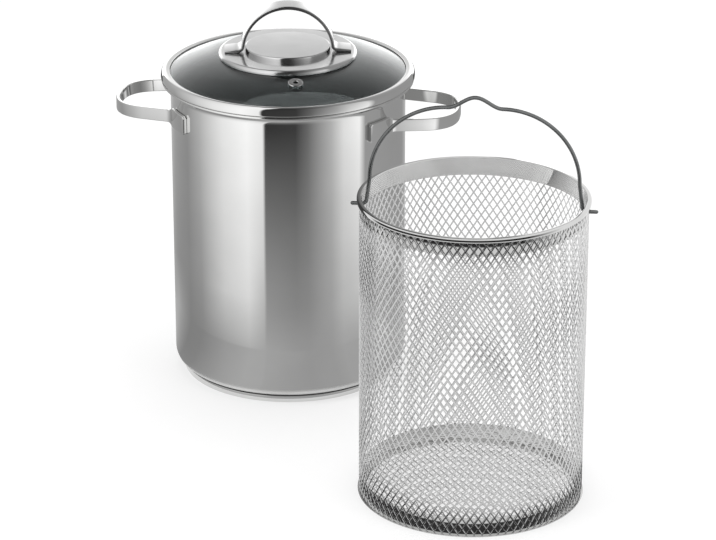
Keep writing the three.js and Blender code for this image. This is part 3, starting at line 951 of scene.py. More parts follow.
    def build(self) -> None:
        """Makes the pot's pieces."""
        lined = LinedFinish(**vars(POLISHED), bore=self.bore + self.wall / 2, lining=self.inside_roughness)
        body = turned(self.body_profile())
        make_piece("pot", body, Slot.POLISHED, Body.POT, "pot_body", finish=lined)
        make_piece("base_cup", turned(self.cap_profile()), Slot.POLISHED, Body.POT, "base_cap")
        make_piece("base_disc", turned(self.core_profile()), Slot.ALUMINIUM, Body.POT, "base_core")
        handle = self.handle()
        at = (0.0, 0.0, self.height - self.drop)
        for side, turn in (("right", 0.0), ("left", 180.0)):
            placed = handle.placed(turn, at)
            make_piece(f"side_handle_{side}", placed, Slot.POLISHED, Body.POT, f"handle_{side}")


@dataclass
class Lid:
    """The glass lid with its rim, rosette, arched handle, screw stack and vent. Lengths in millimetres."""

    pot: Pot
    turn: float = 9.3
    glass: float = 3.0
    dome_rise: float = 14.0
    dome_power: float = 3.0
    rim_sheet: float = 0.7
    rim_overhang: float = 0.6
    rim_edge: float = 1.0
    rim_margin: float = 3.7
    rim_grip: float = 2.2
    hood_crown: float = 2.4
    skirt_clearance: float = 0.7
    skirt_depth: float = 6.5
    rosette_radius: float = 47.5
    rosette_sheet: float = 0.8
    rosette_clearance: float = 0.8
    rosette_edge: float = 2.2
    centre_radius: float = 29.3
    centre_step: float = 3.3
    centre_edge: float = 1.0
    arch_clearance: float = 0.6
    arch_strap: float = 2.4
    arch_width: float = 15.5
    arch_height: float = 32.8
    arch_edge: float = 0.6
    foot_tip: float = 1.4
    foot_margin: float = 1.9
    foot_bend: float = 4.5
    gasket_margin: float = 2.7
    gasket_width: float = 7.0
    screw_radius: float = 3.0
    head_radius: float = 5.5
    head_tall: float = 3.0
    head_round: float = 1.0
    slot_wide: float = 1.2
    slot_deep: float = 1.3
    boss_radius: float = 8.0
    thread_gap: float = 0.15
    screw_hole: float = 5.0
    washer_radius: float = 8.0
    washer_tall: float = 1.0
    seal_radius: float = 9.0
    seal_tall: float = 1.5
    vent_angle: float = -85.7
    vent_margin: float = 4.3
    vent_bore: float = 1.75
    eyelet_radius: float = 5.2
    eyelet_tall: float = 1.0
    eyelet_tube: float = 2.8
    collar_tall: float = 0.8
    running_gap: float = 0.4
    soft_edge: float = 0.4
    thin_edge: float = 0.2
    slot_corner: float = 0.15
    overrun: float = 1.0  # of a cutting tool past what it cuts
    drill_span: float = 4.0  # half length of a drill, in thicknesses of the glass

    @property
    def at(self) -> tuple[float, float, float]:
        """Where the lid's own origin, its seat on the lip, lies."""
        return 0.0, 0.0, self.pot.height + SEAT

    @property
    def rim_radius(self) -> float:
        """Outside of the rim."""
        return self.pot.lip_reach + self.rim_overhang

    @property
    def glass_radius(self) -> float:
        """Outside of the glass, inside the rim's channel."""
        return self.rim_radius - self.rim_margin

    @property
    def glass_edge(self) -> float:
        """Height of the glass's top at its edge."""
        return self.rim_sheet + SEAT + self.glass

    def dome(self, r: float | np.ndarray) -> float | np.ndarray:
        """Height of the glass's top at a distance from the axis: a flat crown that falls as a power of r."""
        return self.glass_edge + self.dome_rise * (1 - (r / self.glass_radius) ** self.dome_power)

    @property
    def ring_under(self) -> float:
        """Underside of the rosette's flat ring."""
        return self.dome(self.centre_radius - self.rosette_sheet) + self.rosette_clearance

    @property
    def ring_top(self) -> float:
        """Top of the rosette's flat ring."""
        return self.ring_under + self.rosette_sheet

    @property
    def centre_under(self) -> float:
        """Underside of the rosette's raised centre."""
        return self.ring_under + self.centre_step

    def make(self, name: str, surface: Surface, slot: Slot, *nodes: str) -> bpy.types.Object:
        """Makes a piece of the lid from a surface in the lid's own frame.

        Args:
            name: the piece's name.
            surface: its mesh.
            slot: the record's slot.
            nodes: the solids that it stands for.

        Returns:
            The piece.
        """
        return make_piece(name, surface.placed(self.turn, self.at), slot, Body.LID, *nodes)

    def glass_profile(self) -> np.ndarray:
        """Closed section of the glass, from its edge over the crown to the screw's hole and back below."""
        edge = self.glass / 2
        r = np.linspace(self.glass_radius - edge, self.screw_hole, 4 * BEND_STEPS)
        top = np.column_stack([r, self.dome(r)])
        under = (top - np.array([0.0, self.glass]))[::-1]
        nose = arc(self.glass_radius - edge, self.dome(self.glass_radius - edge) - edge, edge, -90, 90)
        return chain(nose, top, under[:-1])

    def rim_profile(self) -> np.ndarray:
        """Closed section of the rim: skirt, web on the lip, outer edge, and hood rolled over the glass."""
        skirt_out = self.pot.bore - self.skirt_clearance
        skirt_in = skirt_out - self.rim_sheet
        hood_reach = self.glass_radius - self.rim_grip
        hood_under = self.dome(hood_reach) + SEAT
        hood_top = hood_under + self.rim_sheet
        channel = self.glass_radius + SEAT
        half = self.rim_sheet / 2
        outer = np.array([self.rim_radius, self.rim_edge])
        shoulder = np.array([self.rim_radius - half, hood_top + self.hood_crown])
        return chain(
            arc(skirt_in + half, -self.skirt_depth + half, half, -180, 0, EDGE_STEPS),
            (skirt_out, 0.0),
            arc(self.rim_radius - self.rim_edge, self.rim_edge, self.rim_edge, -90, 0, EDGE_STEPS),
            bend(outer, shoulder, np.array([hood_reach, hood_top])),
            arc(hood_reach, hood_under + half, half, 90, 270, EDGE_STEPS),
            (channel, self.glass_edge + SEAT),
            (channel, self.rim_sheet),
            (skirt_in, self.rim_sheet),
        )

    def rosette_profile(self) -> np.ndarray:
        """Section of the stepped plate: raised centre, flat ring and edge turned down to the glass."""
        step_bore = self.centre_radius - self.rosette_sheet
        edge_bore = self.rosette_radius - self.rosette_sheet
        edge_bottom = self.dome(edge_bore) + SEAT
        inside = self.rosette_edge - self.rosette_sheet
        centre_top = self.centre_under + self.rosette_sheet
        outer_arc = self.rosette_radius - self.rosette_edge
        centre_arc = self.centre_radius - self.centre_edge
        return chain(
            (0.0, self.centre_under),
            (step_bore, self.centre_under),
            (step_bore, self.ring_under),
            arc(edge_bore - inside, self.ring_under - inside, inside, 90, 0, EDGE_STEPS),
            (edge_bore, edge_bottom),
            (self.rosette_radius, edge_bottom),
            arc(outer_arc, self.ring_top - self.rosette_edge, self.rosette_edge, 0, 90),
            (self.centre_radius, self.ring_top),
            arc(centre_arc, centre_top - self.centre_edge, self.centre_edge, 0, 90, EDGE_STEPS),
            (0.0, centre_top),
        )

    def arch(self) -> Surface:
        """The arched handle: a strap carried along foot, bend and half circle, and the same mirrored.

        The foot thins towards its tip and its underside lies on the rosette's ring.

        Returns:
            The handle in the lid's frame.
        """
        inner = self.centre_radius + self.arch_clearance
        middle = inner + self.arch_strap / 2
        centre = self.arch_height - inner - self.arch_strap
        tip = self.rosette_radius - self.rosette_edge - self.foot_margin
        lift = self.arch_strap / 2
        first = math.degrees(math.asin((self.foot_bend - centre) / middle))
        circle = arc(0.0, centre, middle, first, 90, 2 * BEND_STEPS)
        foot_start = np.array([middle + self.foot_bend, lift])
        half = chain(
            np.linspace([tip, self.foot_tip / 2], foot_start, EDGE_STEPS),
            bend(foot_start, np.array([middle, lift]), circle[0]),
            circle,
        )
        plan = chain(half, half[::-1] * np.array([-1.0, 1.0]))
        outside = np.abs(plan[:, 0])
        share = np.clip((outside - foot_start[0]) / (tip - foot_start[0]), 0.0, 1.0)
        thick = self.arch_strap + (self.foot_tip - self.arch_strap) * share
        travel = directions(plan)
        flat = np.zeros(len(plan))
        path = np.column_stack([plan[:, 0], flat, plan[:, 1] + self.ring_top + SEAT])
        side = np.column_stack([-travel[:, 1], flat, travel[:, 0]])
        across = np.tile([0.0, 1.0, 0.0], (len(plan), 1))
        return swept(path, side, across, rounded_rectangle(thick, self.arch_width, self.arch_edge))

    def gasket_profile(self) -> np.ndarray:
        """Closed section of the gasket between the rosette's flat ring and the falling glass."""
        outer = self.rosette_radius - self.rosette_sheet - self.gasket_margin
        inner = outer - self.gasket_width
        top = self.ring_under - SEAT
        r = np.linspace(inner, outer, EDGE_STEPS)
        return chain(np.column_stack([r, self.dome(r) + SEAT]), (outer, top), (inner, top))

    def screw_stack(self) -> None:
        """Makes the boss under the rosette and the seal, washer and screw under the glass."""
        seal_top = self.dome(0.0) - self.glass - SEAT
        washer_top = seal_top - self.seal_tall - SEAT
        head_top = washer_top - self.washer_tall - SEAT
        head_bottom = head_top - self.head_tall
        tip = self.centre_under - SEAT
        bore = self.screw_radius + self.thread_gap
        boss = soft_ring(bore, self.boss_radius, self.dome(0.0) + SEAT, tip, self.soft_edge)
        self.make("rosette_boss", boss, Slot.SATIN, "handle_boss")
        seal = soft_ring(bore, self.seal_radius, seal_top - self.seal_tall, seal_top, self.soft_edge)
        self.make("screw_seal", seal, Slot.SILICONE, "screw_gasket")
        washer_bottom = washer_top - self.washer_tall
        washer = soft_ring(bore, self.washer_radius, washer_bottom, washer_top, self.thin_edge)
        self.make("washer", washer, Slot.SATIN, "screw_washer")
        head_edge = self.head_radius - self.head_round
        screw = turned(
            chain(
                (0.0, head_bottom),
                arc(head_edge, head_bottom + self.head_round, self.head_round, -90, 0, EDGE_STEPS),
                (self.head_radius, head_top),
                (self.screw_radius, head_top),
                (self.screw_radius, tip),
                (0.0, tip),
            ),
            SMALL_STEPS,
        )
        made = self.make("screw", screw, Slot.SATIN, "handle_screw")
        slot = rounded_rectangle(2 * self.head_radius + self.overrun, self.slot_wide, self.slot_corner)
        depth = np.array([[0.0, 0.0, head_bottom - self.overrun], [0.0, 0.0, head_bottom + self.slot_deep]])
        along = np.tile([1.0, 0.0, 0.0], (2, 1))
        across = np.tile([0.0, 1.0, 0.0], (2, 1))
        cut(made, swept(depth, along, across, slot).placed(self.turn, self.at))

    def vent_frame(self) -> tuple[np.ndarray, tuple[float, float, float]]:
        """Where the vent stands on the glass, square to its slope.

        Returns:
            The turning matrix and the place, in the lid's frame.
        """
        reach = self.rosette_radius + self.vent_margin + self.eyelet_radius
        turn = math.radians(self.vent_angle)
        slope = self.dome_rise * self.dome_power / self.glass_radius
        slope *= (reach / self.glass_radius) ** (self.dome_power - 1)
        tilt = math.degrees(math.atan(slope))
        axes = turn_about_z(self.vent_angle) @ turn_about_y(tilt)
        return axes, (reach * math.cos(turn), reach * math.sin(turn), float(self.dome(reach)))

    def vent(self, glass: bpy.types.Object) -> None:
        """Cuts the vent's hole in the glass and makes the eyelet and the collar below it.

        Args:
            glass: the lid's glass.
        """
        axes, at = self.vent_frame()
        through = self.glass * axes[2, 2]
        bottom = -(through + SEAT + self.collar_tall + SEAT)
        top = SEAT + self.eyelet_tall
        half = self.eyelet_tall / 2
        profile = chain(
            (self.vent_bore, bottom),
            (self.eyelet_tube, bottom),
            (self.eyelet_tube, SEAT),
            arc(self.eyelet_radius - half, SEAT + half, half, -90, 90, EDGE_STEPS),
            arc(self.vent_bore + half, top - half, half, 90, 180, EDGE_STEPS),
        )
        eyelet = turned(profile, SMALL_STEPS, closed=True).carried(axes, at)
        self.make("eyelet", eyelet, Slot.SATIN, "vent_eyelet")
        collar_top = -(through + SEAT)
        collar_bore = self.eyelet_tube + self.thread_gap
        collar_bottom = collar_top - self.collar_tall
        collar = soft_ring(collar_bore, self.eyelet_radius, collar_bottom, collar_top, self.thin_edge)
        self.make("collar", collar.carried(axes, at), Slot.SATIN, "vent_collar")
        span = self.drill_span * self.glass
        drill = rod(self.eyelet_tube + self.running_gap, -span, span)
        cut(glass, drill.carried(axes, at).placed(self.turn, self.at))

    def build(self) -> None:
        """Makes the lid's pieces."""
        self.make("rim", turned(self.rim_profile(), closed=True), Slot.POLISHED, "lid_rim")
        glass = self.make("glass", turned(self.glass_profile(), closed=True), Slot.GLASS, "lid_glass")
        self.make("rosette", turned(self.rosette_profile()), Slot.SATIN, "lid_rosette")
        self.make("arch_handle", self.arch(), Slot.SATIN, "lid_handle")
        gasket = turned(self.gasket_profile(), closed=True)
        self.make("rosette_seal", gasket, Slot.SILICONE, "rosette_gasket")
        self.screw_stack()
        self.vent(glass)


@dataclass
class Basket:
    """The expanded-metal basket with its two bands and its wire bail. Lengths in millimetres."""

    pot: Pot
    clearance: float = 5.6
    headroom: float = 3.3
    standing_gap: float = 85.4
    standing_angle: float = -52.4
    turn: float = 1.3
    band_sheet: float = 0.6
    band_tall: float = 12.5
    mesh_sheet: float = 0.8
    roll_sheet: float = 1.2
    roll_tall: float = 3.0
    hem_reach: float = 0.8
    ledge: float = 3.5
    openings_round: int = 88
    opening_rows: int = 50
    floor_wide: float = 2.6
    floor_tall: float = 4.0
    strand: float = 1.05
    strand_thick: float = 0.55
    strand_tilt: float = 0.2
    wire: float = 1.25
    wire_sides: int = 16
    pin_clearance: float = 1.3
    pivot_drop: float = 7.7
    bail_bend: float = 3.0
    leg_lean: float = 2.3
    leg_tall: float = 17.5
    bail_arc: float = 49.0
    hump_rise: float = 7.0
    running_gap: float = 0.4
    overrun: float = 1.0  # of a cutting tool past what it cuts

    @property
    def rim(self) -> float:
        """Outside of the rolled rim."""
        return self.pot.bore - self.clearance

    @property
    def height(self) -> float:
        """Height of the rim over what the basket stands on."""
        return self.pot.height - self.pot.floor - self.headroom

    @property
    def mesh_radius(self) -> float:
        """Outside of the mesh."""
        return self.rim - self.roll_sheet - SEAT

    @property
    def band_radius(self) -> float:
        """Outside of the bands, which stand inside the mesh."""
        return self.mesh_radius - self.mesh_sheet - SEAT

    @property
    def band_bore(self) -> float:
        """Inside of the bands."""
        return self.band_radius - self.band_sheet

    @property
    def pivot_height(self) -> float:
        """Height of the bail's pivots."""
        return self.height - self.pivot_drop

    @property
    def at(self) -> tuple[float, float, float]:
        """Where the basket stands."""
        reach = self.pot.wall_radius + self.standing_gap + self.rim
        angle = math.radians(self.standing_angle)
        return reach * math.cos(angle), reach * math.sin(angle), 0.0

    def make(self, name: str, surface: Surface, slot: Slot, body: Body, *nodes: str) -> bpy.types.Object:
        """Makes a piece from a surface in the basket's own frame.

        Args:
            name: the piece's name.
            surface: its mesh.
            slot: the record's slot.
            body: the body that it rides on.
            nodes: the solids that it stands for.

        Returns:
            The piece.
        """
        return make_piece(name, surface.placed(self.turn, self.at), slot, body, *nodes)

    def mesh_wall(self) -> Surface:
        """The net wrapped round the bands: first axis along the turn, second up, third outwards."""
        bottom = self.band_sheet + SEAT
        top = self.height - self.roll_sheet - SEAT
        around = 2 * self.openings_round
        middle = self.mesh_radius - self.mesh_sheet / 2
        half_wide = math.pi * middle / self.openings_round
        half_tall = (top - bottom) / (self.opening_rows + 1)
        net = DiamondNet(half_wide, half_tall, self.strand, self.strand_thick, self.strand_tilt)
        columns, rows = np.meshgrid(np.arange(around), np.arange(1, self.opening_rows + 1))
        even = (columns + rows) % 2 == 0
        flat, faces = net.net(columns[even], rows[even], around)
        angle = flat[:, 0] / middle
        r = middle + flat[:, 2]
        points = np.column_stack([r * np.cos(angle), r * np.sin(angle), bottom + flat[:, 1]])
        return Surface(points, faces, flat[:, 0])

    def mesh_floor(self) -> Surface:
        """The net laid flat on the bottom band's ledge, cut to whole openings inside the band."""
        net = DiamondNet(self.floor_wide, self.floor_tall, self.strand, self.strand_thick, self.strand_tilt)
        reach = self.band_bore - SEAT
        most = int(reach / self.floor_wide) + 1
        columns, rows = np.meshgrid(np.arange(-most, most + 1), np.arange(-most, most + 1))
        even = (columns + rows) % 2 == 0
        columns, rows = columns[even], rows[even]
        wide = np.hypot((np.abs(columns) + 1) * self.floor_wide, rows * self.floor_tall)
        tall = np.hypot(columns * self.floor_wide, (np.abs(rows) + 1) * self.floor_tall)
        inside = np.maximum(wide, tall) < reach
        flat, faces = net.net(columns[inside], rows[inside])
        lift = self.band_sheet + SEAT + self.mesh_sheet / 2
        return Surface(flat + np.array([0.0, 0.0, lift]), faces, flat[:, 0])

    def top_band_profile(self) -> np.ndarray:
        """Closed section of the top band, rolled out and down over the mesh's edge."""
        roll_under = self.height - self.roll_sheet
        roll_bore = self.rim - self.roll_sheet
        half = self.roll_sheet / 2
        bottom = self.height - self.band_tall
        thin = self.band_sheet / 2
        return chain(
            arc(self.band_bore + thin, bottom + thin, thin, -180, 0, EDGE_STEPS),
            (self.band_radius, roll_under),
            (roll_bore, roll_under),
            arc(self.rim - half, self.height - self.roll_tall + half, half, -180, 0, EDGE_STEPS),
            arc(roll_bore, roll_under, self.roll_sheet, 0, 90, EDGE_STEPS),
            arc(self.band_bore + half, self.height - half, half, 90, 180, EDGE_STEPS),
        )

    def bottom_band_profile(self) -> np.ndarray:
        """Closed section of the bottom band with its flange under the mesh and the floor."""
        hem = self.mesh_radius + self.hem_reach
        thin = self.band_sheet / 2
        return chain(
            (self.band_bore - self.ledge, 0.0),
            arc(hem - thin, thin, thin, -90, 90, EDGE_STEPS),
            (self.band_radius, self.band_sheet),
            arc(self.band_radius - thin, self.band_tall - thin, thin, 0, 180, EDGE_STEPS),
            (self.band_bore, self.band_sheet),
            (self.band_bore - self.ledge, self.band_sheet),
        )

    def bail(self) -> Surface:
        """The bail: a round wire carried along pivot, leg, shoulder and hump, and the same mirrored.

        The shoulder is a quarter circle, and the hump rises to the middle as half a cosine wave.

        Returns:
            The wire in the basket's frame.
        """
        pin = self.pot.bore - self.pin_clearance
        foot = self.band_bore + self.running_gap - self.bail_bend
        leg_top = foot - self.leg_lean
        shoulder = leg_top - self.bail_arc
        leg = np.array([-self.leg_lean, self.leg_tall]) / math.hypot(self.leg_lean, self.leg_tall)
        share = np.linspace(0.0, 1.0, 2 * BEND_STEPS)
        hump_top = self.leg_tall + self.bail_arc + self.hump_rise * (1 - np.cos(math.pi * share)) / 2
        corner = np.array([foot, 0.0])
        half = chain(
            np.column_stack([pin - self.wire * TIP_STATIONS, np.zeros(len(TIP_STATIONS))]),
            bend(corner + np.array([self.bail_bend, 0.0]), corner, corner + self.bail_bend * leg),
            np.linspace(corner + self.bail_bend * leg, [leg_top, self.leg_tall], EDGE_STEPS),
            arc(shoulder, self.leg_tall, self.bail_arc, 0, 90, 3 * BEND_STEPS),
            np.column_stack([shoulder * (1 - share), hump_top]),
        )
        plan = chain(half, half[::-1] * np.array([-1.0, 1.0]))
        tip = np.clip(1 - (pin - np.abs(plan[:, 0])) / self.wire, 0.0, 1.0)
        radius = self.wire * np.sqrt(np.maximum(1 - tip**2, TIP_FLAT))
        travel = directions(plan)
        flat = np.zeros(len(plan))
        path = np.column_stack([plan[:, 0], flat, plan[:, 1] + self.pivot_height])
        side = np.column_stack([-travel[:, 1], flat, travel[:, 0]])
        across = np.tile([0.0, 1.0, 0.0], (len(plan), 1))
        return swept(path, side, across, round_section(radius, self.wire_sides))

    def build(self) -> None:
        """Makes the basket's pieces."""
        self.make("mesh_wall", self.mesh_wall(), Slot.MESH, Body.BASKET, "basket_wall")
        self.make("mesh_floor", self.mesh_floor(), Slot.MESH, Body.BASKET, "basket_floor")
        top = turned(self.top_band_profile(), closed=True)
        band = self.make("top_band", top, Slot.POLISHED, Body.BASKET, "basket_top_band")
        bottom = turned(self.bottom_band_profile(), closed=True)
        self.make("bottom_band", bottom, Slot.POLISHED, Body.BASKET, "basket_bottom_band")
        self.make("bail_wire", self.bail(), Slot.WIRE, Body.BAIL, "bail")
        reach = self.rim + self.overrun
        pivot = rod(self.wire + self.running_gap, -reach, reach)
        along = pivot.carried(turn_about_y(90.0), (0.0, 0.0, self.pivot_height))
        cut(band, along.placed(self.turn, self.at))


# Studio

SCREEN_STEP = 1.0  # degrees between a screen's points

# Screens that glow and only reflections see, as (r, z) sections, and their brightness at each station by
# angle from the viewer. They paint reflections on the steel and glass: low values are painted shade and
# values above 1 painted highlights. The stations at floor height lie flat round the pot and the basket and
# paint the floor's contact shade into reflections.
FRONT_SECTION = (
    (82.0, 0.1), (160.0, 0.1), (160.0, 1.0), (160.0, 40.0), (160.0, 170.0), (160.0, 420.0), (60.0, 470.0),
)
# painted shade: the dark band from -17 to 14 degrees and the dim stations high up in front; painted
# highlights: the values above 1
FRONT_PAINTED_REFLECTION = {
    -121.0: (0.5, 0.5, 0.5, 0.36, 0.45, 0.6, 0.6),
    -93.0: (0.3, 0.3, 0.3, 0.33, 0.38, 0.9, 0.9),
    -76.0: (0.32, 0.32, 0.34, 0.4, 0.6, 1.1, 1.1),
    -51.0: (0.45, 0.45, 0.5, 0.82, 1.1, 1.2, 1.2),
    -31.0: (0.52, 0.52, 0.6, 0.98, 1.34, 1.34, 1.34),
    -19.0: (0.52, 0.52, 0.52, 0.7, 1.22, 1.22, 1.22),
    -17.0: (0.5, 0.5, 0.5, 0.4, 0.05, 0.04, 0.04),
    5.0: (0.45, 0.45, 0.43, 0.33, 0.06, 0.04, 0.04),
    14.0: (0.43, 0.43, 0.42, 0.34, 0.19, 0.06, 0.06),
    32.0: (0.45, 0.45, 0.45, 0.48, 0.63, 0.12, 0.1),
    42.0: (0.5, 0.5, 0.52, 0.66, 1.04, 0.2, 0.15),
    56.0: (0.5, 0.5, 0.52, 0.75, 1.27, 0.3, 0.2),
    62.0: (0.45, 0.45, 0.45, 0.44, 0.42, 0.3, 0.2),
    121.0: (0.5, 0.5, 0.42, 0.36, 0.36, 0.5, 0.6),
}
BACK_SECTION = (
    (82.0, 0.1), (160.0, 0.1), (160.0, 1.0), (160.0, 40.0), (160.0, 175.0), (160.0, 180.0), (160.0, 205.0),
)
# painted shade: the dark top stations all round the back; painted highlight: the band straight behind the
# pot that glows up to 1
BACK_PAINTED_REFLECTION = {
    121.0: (0.5, 0.5, 0.42, 0.36, 0.36, 0.08, 0.08),
    140.0: (0.5, 0.5, 0.45, 0.42, 0.6, 0.05, 0.05),
    158.0: (0.5, 0.5, 0.42, 0.3, 0.08, 0.05, 0.05),
    180.0: (0.5, 0.5, 0.6, 0.75, 1.0, 0.05, 0.05),
    202.0: (0.5, 0.5, 0.42, 0.3, 0.08, 0.05, 0.05),
    220.0: (0.5, 0.5, 0.45, 0.42, 0.6, 0.05, 0.05),
    239.0: (0.5, 0.5, 0.5, 0.36, 0.45, 0.08, 0.08),
}
# painted sheen: low behind the pot the canopy glows up to 2.4 times the white world, dimming upwards to
# painted shade
CANOPY_SECTION = (
    (400.0, 120.0), (400.0, 220.0), (400.0, 300.0), (400.0, 366.0), (400.0, 415.0), (400.0, 490.0),
    (400.0, 620.0), (300.0, 740.0),
)
CANOPY_PAINTED_REFLECTION = {
    121.0: (1.0, 1.0, 1.0, 0.9, 0.8, 0.7, 0.4, 0.2),
    145.0: (2.4, 2.4, 2.2, 1.6, 1.1, 0.75, 0.4, 0.2),
    165.0: (2.4, 2.4, 2.0, 1.3, 1.0, 0.75, 0.35, 0.2),
    173.0: (1.4, 1.4, 1.0, 0.85, 0.85, 0.8, 0.3, 0.2),
}  # up to the back; the other side is the same
# painted shade: a dim cover overhead
CEILING_SECTION = ((300.0, 741.0), (0.0, 760.0))
CEILING_PAINTED_REFLECTION = {0.0: (0.2, 0.2), 360.0: (0.2, 0.2)}
# painted shade: a dark ring on the floor round the basket, and in front a dark band from 165 to 205 mm up
BASKET_SECTION = (
    (74.5, 0.15), (105.0, 0.15), (108.0, 0.15), (130.0, 0.15), (130.0, 162.0), (130.0, 165.0),
    (130.0, 205.0), (130.0, 208.0), (130.0, 280.0),
)
BASKET_BACK_PAINTED_REFLECTION = (0.1, 0.1, 0.9, 0.9, 1.0, 1.0, 1.0, 1.0, 1.0)
BASKET_FRONT_PAINTED_REFLECTION = (0.04, 0.04, 0.8, 0.8, 0.85, 0.03, 0.03, 0.9, 0.9)
BASKET_PAINTED_REFLECTION = {
    -100.0: BASKET_BACK_PAINTED_REFLECTION,
    -90.0: BASKET_BACK_PAINTED_REFLECTION,
    -78.0: BASKET_FRONT_PAINTED_REFLECTION,
    40.0: BASKET_FRONT_PAINTED_REFLECTION,
    70.0: BASKET_BACK_PAINTED_REFLECTION,
    150.0: BASKET_BACK_PAINTED_REFLECTION,
}


def both_sides(tones: dict[float, tuple[float, ...]]) -> dict[float, tuple[float, ...]]:
    """Adds the same brightness on the other side of the back, at 360 degrees less each angle."""
    return tones | {360.0 - angle: row for angle, row in reversed(tones.items())}


@dataclass(frozen=True)
class PaintedReflectionScreen:
    """A screen that glows and only reflections see, bent part of the way round an axis: painted
    reflections of light and shade on the steel and glass. Lengths in millimetres.

    Attributes:
        name: the object's name.
        at: the axis.
        facing: direction from the axis to the viewer, in degrees.
        profile: section of the screen, one (r, z) row per station.
        stops: how brightly each station glows, by angle round the axis in degrees from the viewer, growing
            to the
        right; dim stops paint shade and bright ones paint highlights into reflections.
    """

    name: str
    at: tuple[float, float, float]
    facing: float
    profile: tuple[tuple[float, float], ...]
    stops: dict[float, tuple[float, ...]]

    def build(self) -> None:
        """Makes the screen: point (i, j) is station j at angle i, glowing as bright as its stops say, seen
        by glossy rays only.
        """
        places = list(self.stops)
        angle = np.arange(places[0], places[-1] + SCREEN_STEP / 2, SCREEN_STEP)
        turn = np.radians(angle + self.facing)[:, None]
        r, z = np.array(self.profile).T
        grid = np.stack([r * np.cos(turn), r * np.sin(turn), z + 0 * turn], axis=-1)
        tone = np.column_stack([np.interp(angle, places, row) for row in zip(*self.stops.values())])
        index = np.arange(tone.size).reshape(tone.shape)
        sheet = Surface(grid.reshape(-1, 3), grid_faces(index, False, False), tone.ravel())
        made = mesh_object(self.name, sheet.placed(0.0, self.at))
        made.data.materials.append(self.material())
        # only glossy rays see the screen, so its glow shows only in reflections, as painted light and shade
        for seen_by in ("camera", "diffuse", "transmission", "volume_scatter", "shadow"):
            setattr(made, "visible_" + seen_by, False)

    @staticmethod
    @cache
    def material() -> bpy.types.Material:
        """Makes the material that glows as bright as its mark, once for all screens: painted light in
        reflections, from no lamp.
        """
        nodes = Nodes("painted_reflection_glow")
        tone = nodes.add("ShaderNodeAttribute", {"attribute_name": "mark"}).outputs["Fac"]
        glow = nodes.add("ShaderNodeEmission", Color=(1.0, 1.0, 1.0, 1.0), Strength=tone)
        nodes.tree.links.new(glow.outputs[0], nodes.tree.nodes["Material Output"].inputs["Surface"])
        nodes.tree.nodes.remove(nodes.shader)
        return nodes.material


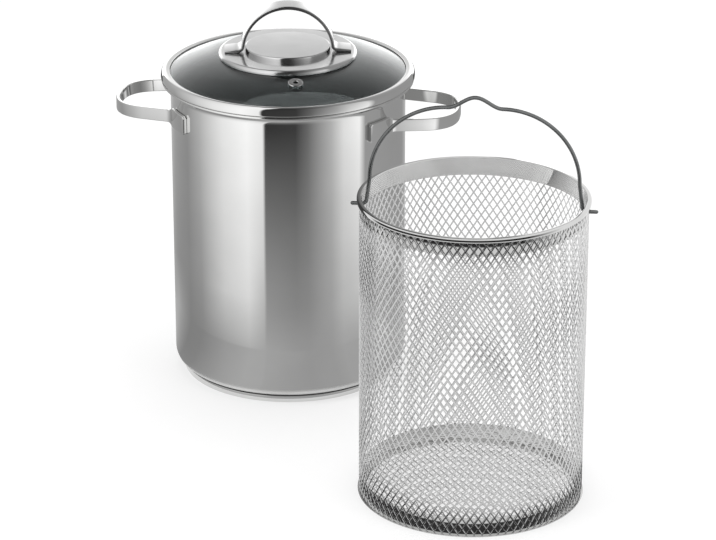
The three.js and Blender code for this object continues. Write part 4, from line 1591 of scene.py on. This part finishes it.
@dataclass
class Studio:
    """The pale floor, the soft light, the glowing screens that paint reflections, and the camera. Lengths in
    metres, angles in degrees.
    """

    camera_at: tuple[float, float, float] = (0.3226, -2.159, 0.9598)
    camera_turn: float = 7.232
    camera_tilt: float = 22.212
    lens: float = 168.0
    sensor: float = 36.0
    floor_radius: float = 1.6
    floor_steps: int = 64
    floor_colour: tuple[float, float, float, float] = (0.95, 0.95, 0.95, 1.0)
    floor_white: float = 0.6
    world_level: float = 0.75
    lamps: list[tuple[str, tuple[float, float, float], float, float]] = field(
        default_factory=lambda: [
            ("key", (-1.3, -1.1, 1.6), 1.2, 16.0),
            ("fill", (1.5, -0.9, 1.3), 1.2, 8.0),
            ("top", (0.1, 0.5, 1.9), 1.4, 12.0),
        ]
    )
    aim: tuple[float, float, float] = (0.06, -0.07, 0.12)
    pot_facing: float = -81.5
    basket_facing: float = -84.9

    def camera(self) -> None:
        """Sets the camera at the photograph's angle."""
        data = bpy.data.cameras.new("camera")
        data.lens = self.lens
        data.sensor_width = self.sensor
        made = bpy.data.objects.new("camera", data)
        made.location = self.camera_at
        turn = math.radians(self.camera_turn)
        tilt = math.radians(self.camera_tilt)
        look = Vector((-math.sin(turn) * math.cos(tilt), math.cos(turn) * math.cos(tilt), -math.sin(tilt)))
        made.rotation_euler = look.to_track_quat("-Z", "Y").to_euler()
        bpy.context.scene.collection.objects.link(made)
        bpy.context.scene.camera = made

    def seen_directly(self, tree: bpy.types.NodeTree) -> bpy.types.NodeSocket:
        """A factor of 1 for camera, glossy and transmission rays.

        Args:
            tree: the node tree that needs it.

        Returns:
            The factor.
        """
        path = tree.nodes.new("ShaderNodeLightPath")
        total = path.outputs["Is Camera Ray"]
        for kind in ("Is Glossy Ray", "Is Transmission Ray"):
            either = tree.nodes.new("ShaderNodeMath")
            either.operation = "MAXIMUM"
            tree.links.new(total, either.inputs[0])
            tree.links.new(path.outputs[kind], either.inputs[1])
            total = either.outputs[0]
        return total

    def world(self) -> None:
        """Lights the scene evenly and shows white behind it."""
        world = bpy.data.worlds.new("studio")
        world.use_nodes = True
        bpy.context.scene.world = world
        tree = world.node_tree
        background = tree.nodes["Background"]
        background.inputs["Color"].default_value = (1.0, 1.0, 1.0, 1.0)
        level = tree.nodes.new("ShaderNodeMapRange")
        tree.links.new(self.seen_directly(tree), level.inputs["Value"])
        level.inputs["To Min"].default_value = self.world_level
        level.inputs["To Max"].default_value = 1.0
        tree.links.new(level.outputs["Result"], background.inputs["Strength"])

    def floor(self) -> None:
        """Lays a round pale floor that takes a faint shadow."""
        rim = turned(chain((0.0, 0.0), (self.floor_radius / MM, 0.0)), self.floor_steps)
        made = mesh_object("floor", Surface(rim.points, rim.faces[:, [1, 0, 3, 2]], rim.mark))
        nodes = Nodes("floor")
        tree = nodes.tree
        tree.nodes.remove(nodes.shader)
        matt = nodes.add("ShaderNodeBsdfDiffuse", Color=self.floor_colour)
        white = nodes.add("ShaderNodeEmission", Color=(1.0, 1.0, 1.0, 1.0), Strength=1.0)
        share = nodes.add("ShaderNodeMath", {"operation": "MULTIPLY"})
        nodes.feed(share.inputs[0], self.seen_directly(tree))
        nodes.feed(share.inputs[1], self.floor_white)
        mix = tree.nodes.new("ShaderNodeMixShader")
        nodes.feed(mix.inputs[0], share.outputs[0])
        tree.links.new(matt.outputs[0], mix.inputs[1])
        tree.links.new(white.outputs[0], mix.inputs[2])
        tree.links.new(mix.outputs[0], tree.nodes["Material Output"].inputs["Surface"])
        made.data.materials.append(nodes.material)

    def painted_reflection_screens(self) -> None:
        """Stands glowing screens round the pot and the basket that only reflections see, for their steel and
        glass to reflect as painted light and shade.
        """
        axis = (0.0, 0.0, 0.0)
        painted_reflection_canopy = both_sides(CANOPY_PAINTED_REFLECTION)
        beside = Basket(Pot()).at
        for name, at, facing, section, tones in (
            ("front_painted_reflection", axis, self.pot_facing, FRONT_SECTION, FRONT_PAINTED_REFLECTION),
            ("back_painted_reflection", axis, self.pot_facing, BACK_SECTION, BACK_PAINTED_REFLECTION),
            ("painted_reflection_canopy", axis, self.pot_facing, CANOPY_SECTION, painted_reflection_canopy),
            ("painted_reflection_ceiling", axis, self.pot_facing, CEILING_SECTION, CEILING_PAINTED_REFLECTION),
            ("basket_painted_reflection", beside, self.basket_facing, BASKET_SECTION, BASKET_PAINTED_REFLECTION),
        ):
            PaintedReflectionScreen(name, at, facing, section, tones).build()

    def light(self) -> None:
        """Hangs the soft lamps round the object."""
        for name, place, size, power in self.lamps:
            data = bpy.data.lights.new(name, "AREA")
            data.shape = "DISK"
            data.size = size
            data.energy = power
            made = bpy.data.objects.new(name, data)
            made.location = place
            made.rotation_euler = (Vector(self.aim) - Vector(place)).to_track_quat("-Z", "Y").to_euler()
            made.visible_glossy = False
            bpy.context.scene.collection.objects.link(made)

    def build(self) -> None:
        """Sets up the camera, the world, the floor, the screens of painted reflection and the lamps."""
        bpy.context.scene.view_settings.view_transform = "Standard"
        self.camera()
        self.world()
        self.floor()
        self.painted_reflection_screens()
        self.light()


def main() -> None:
    """Builds the pot, its lid, the basket and the studio."""
    logging.basicConfig(level=logging.INFO)
    pot = Pot()
    for assembly in (pot, Lid(pot), Basket(pot), Studio()):
        log.info("building %s", type(assembly).__name__)
        assembly.build()


if __name__ == "__main__":
    main()
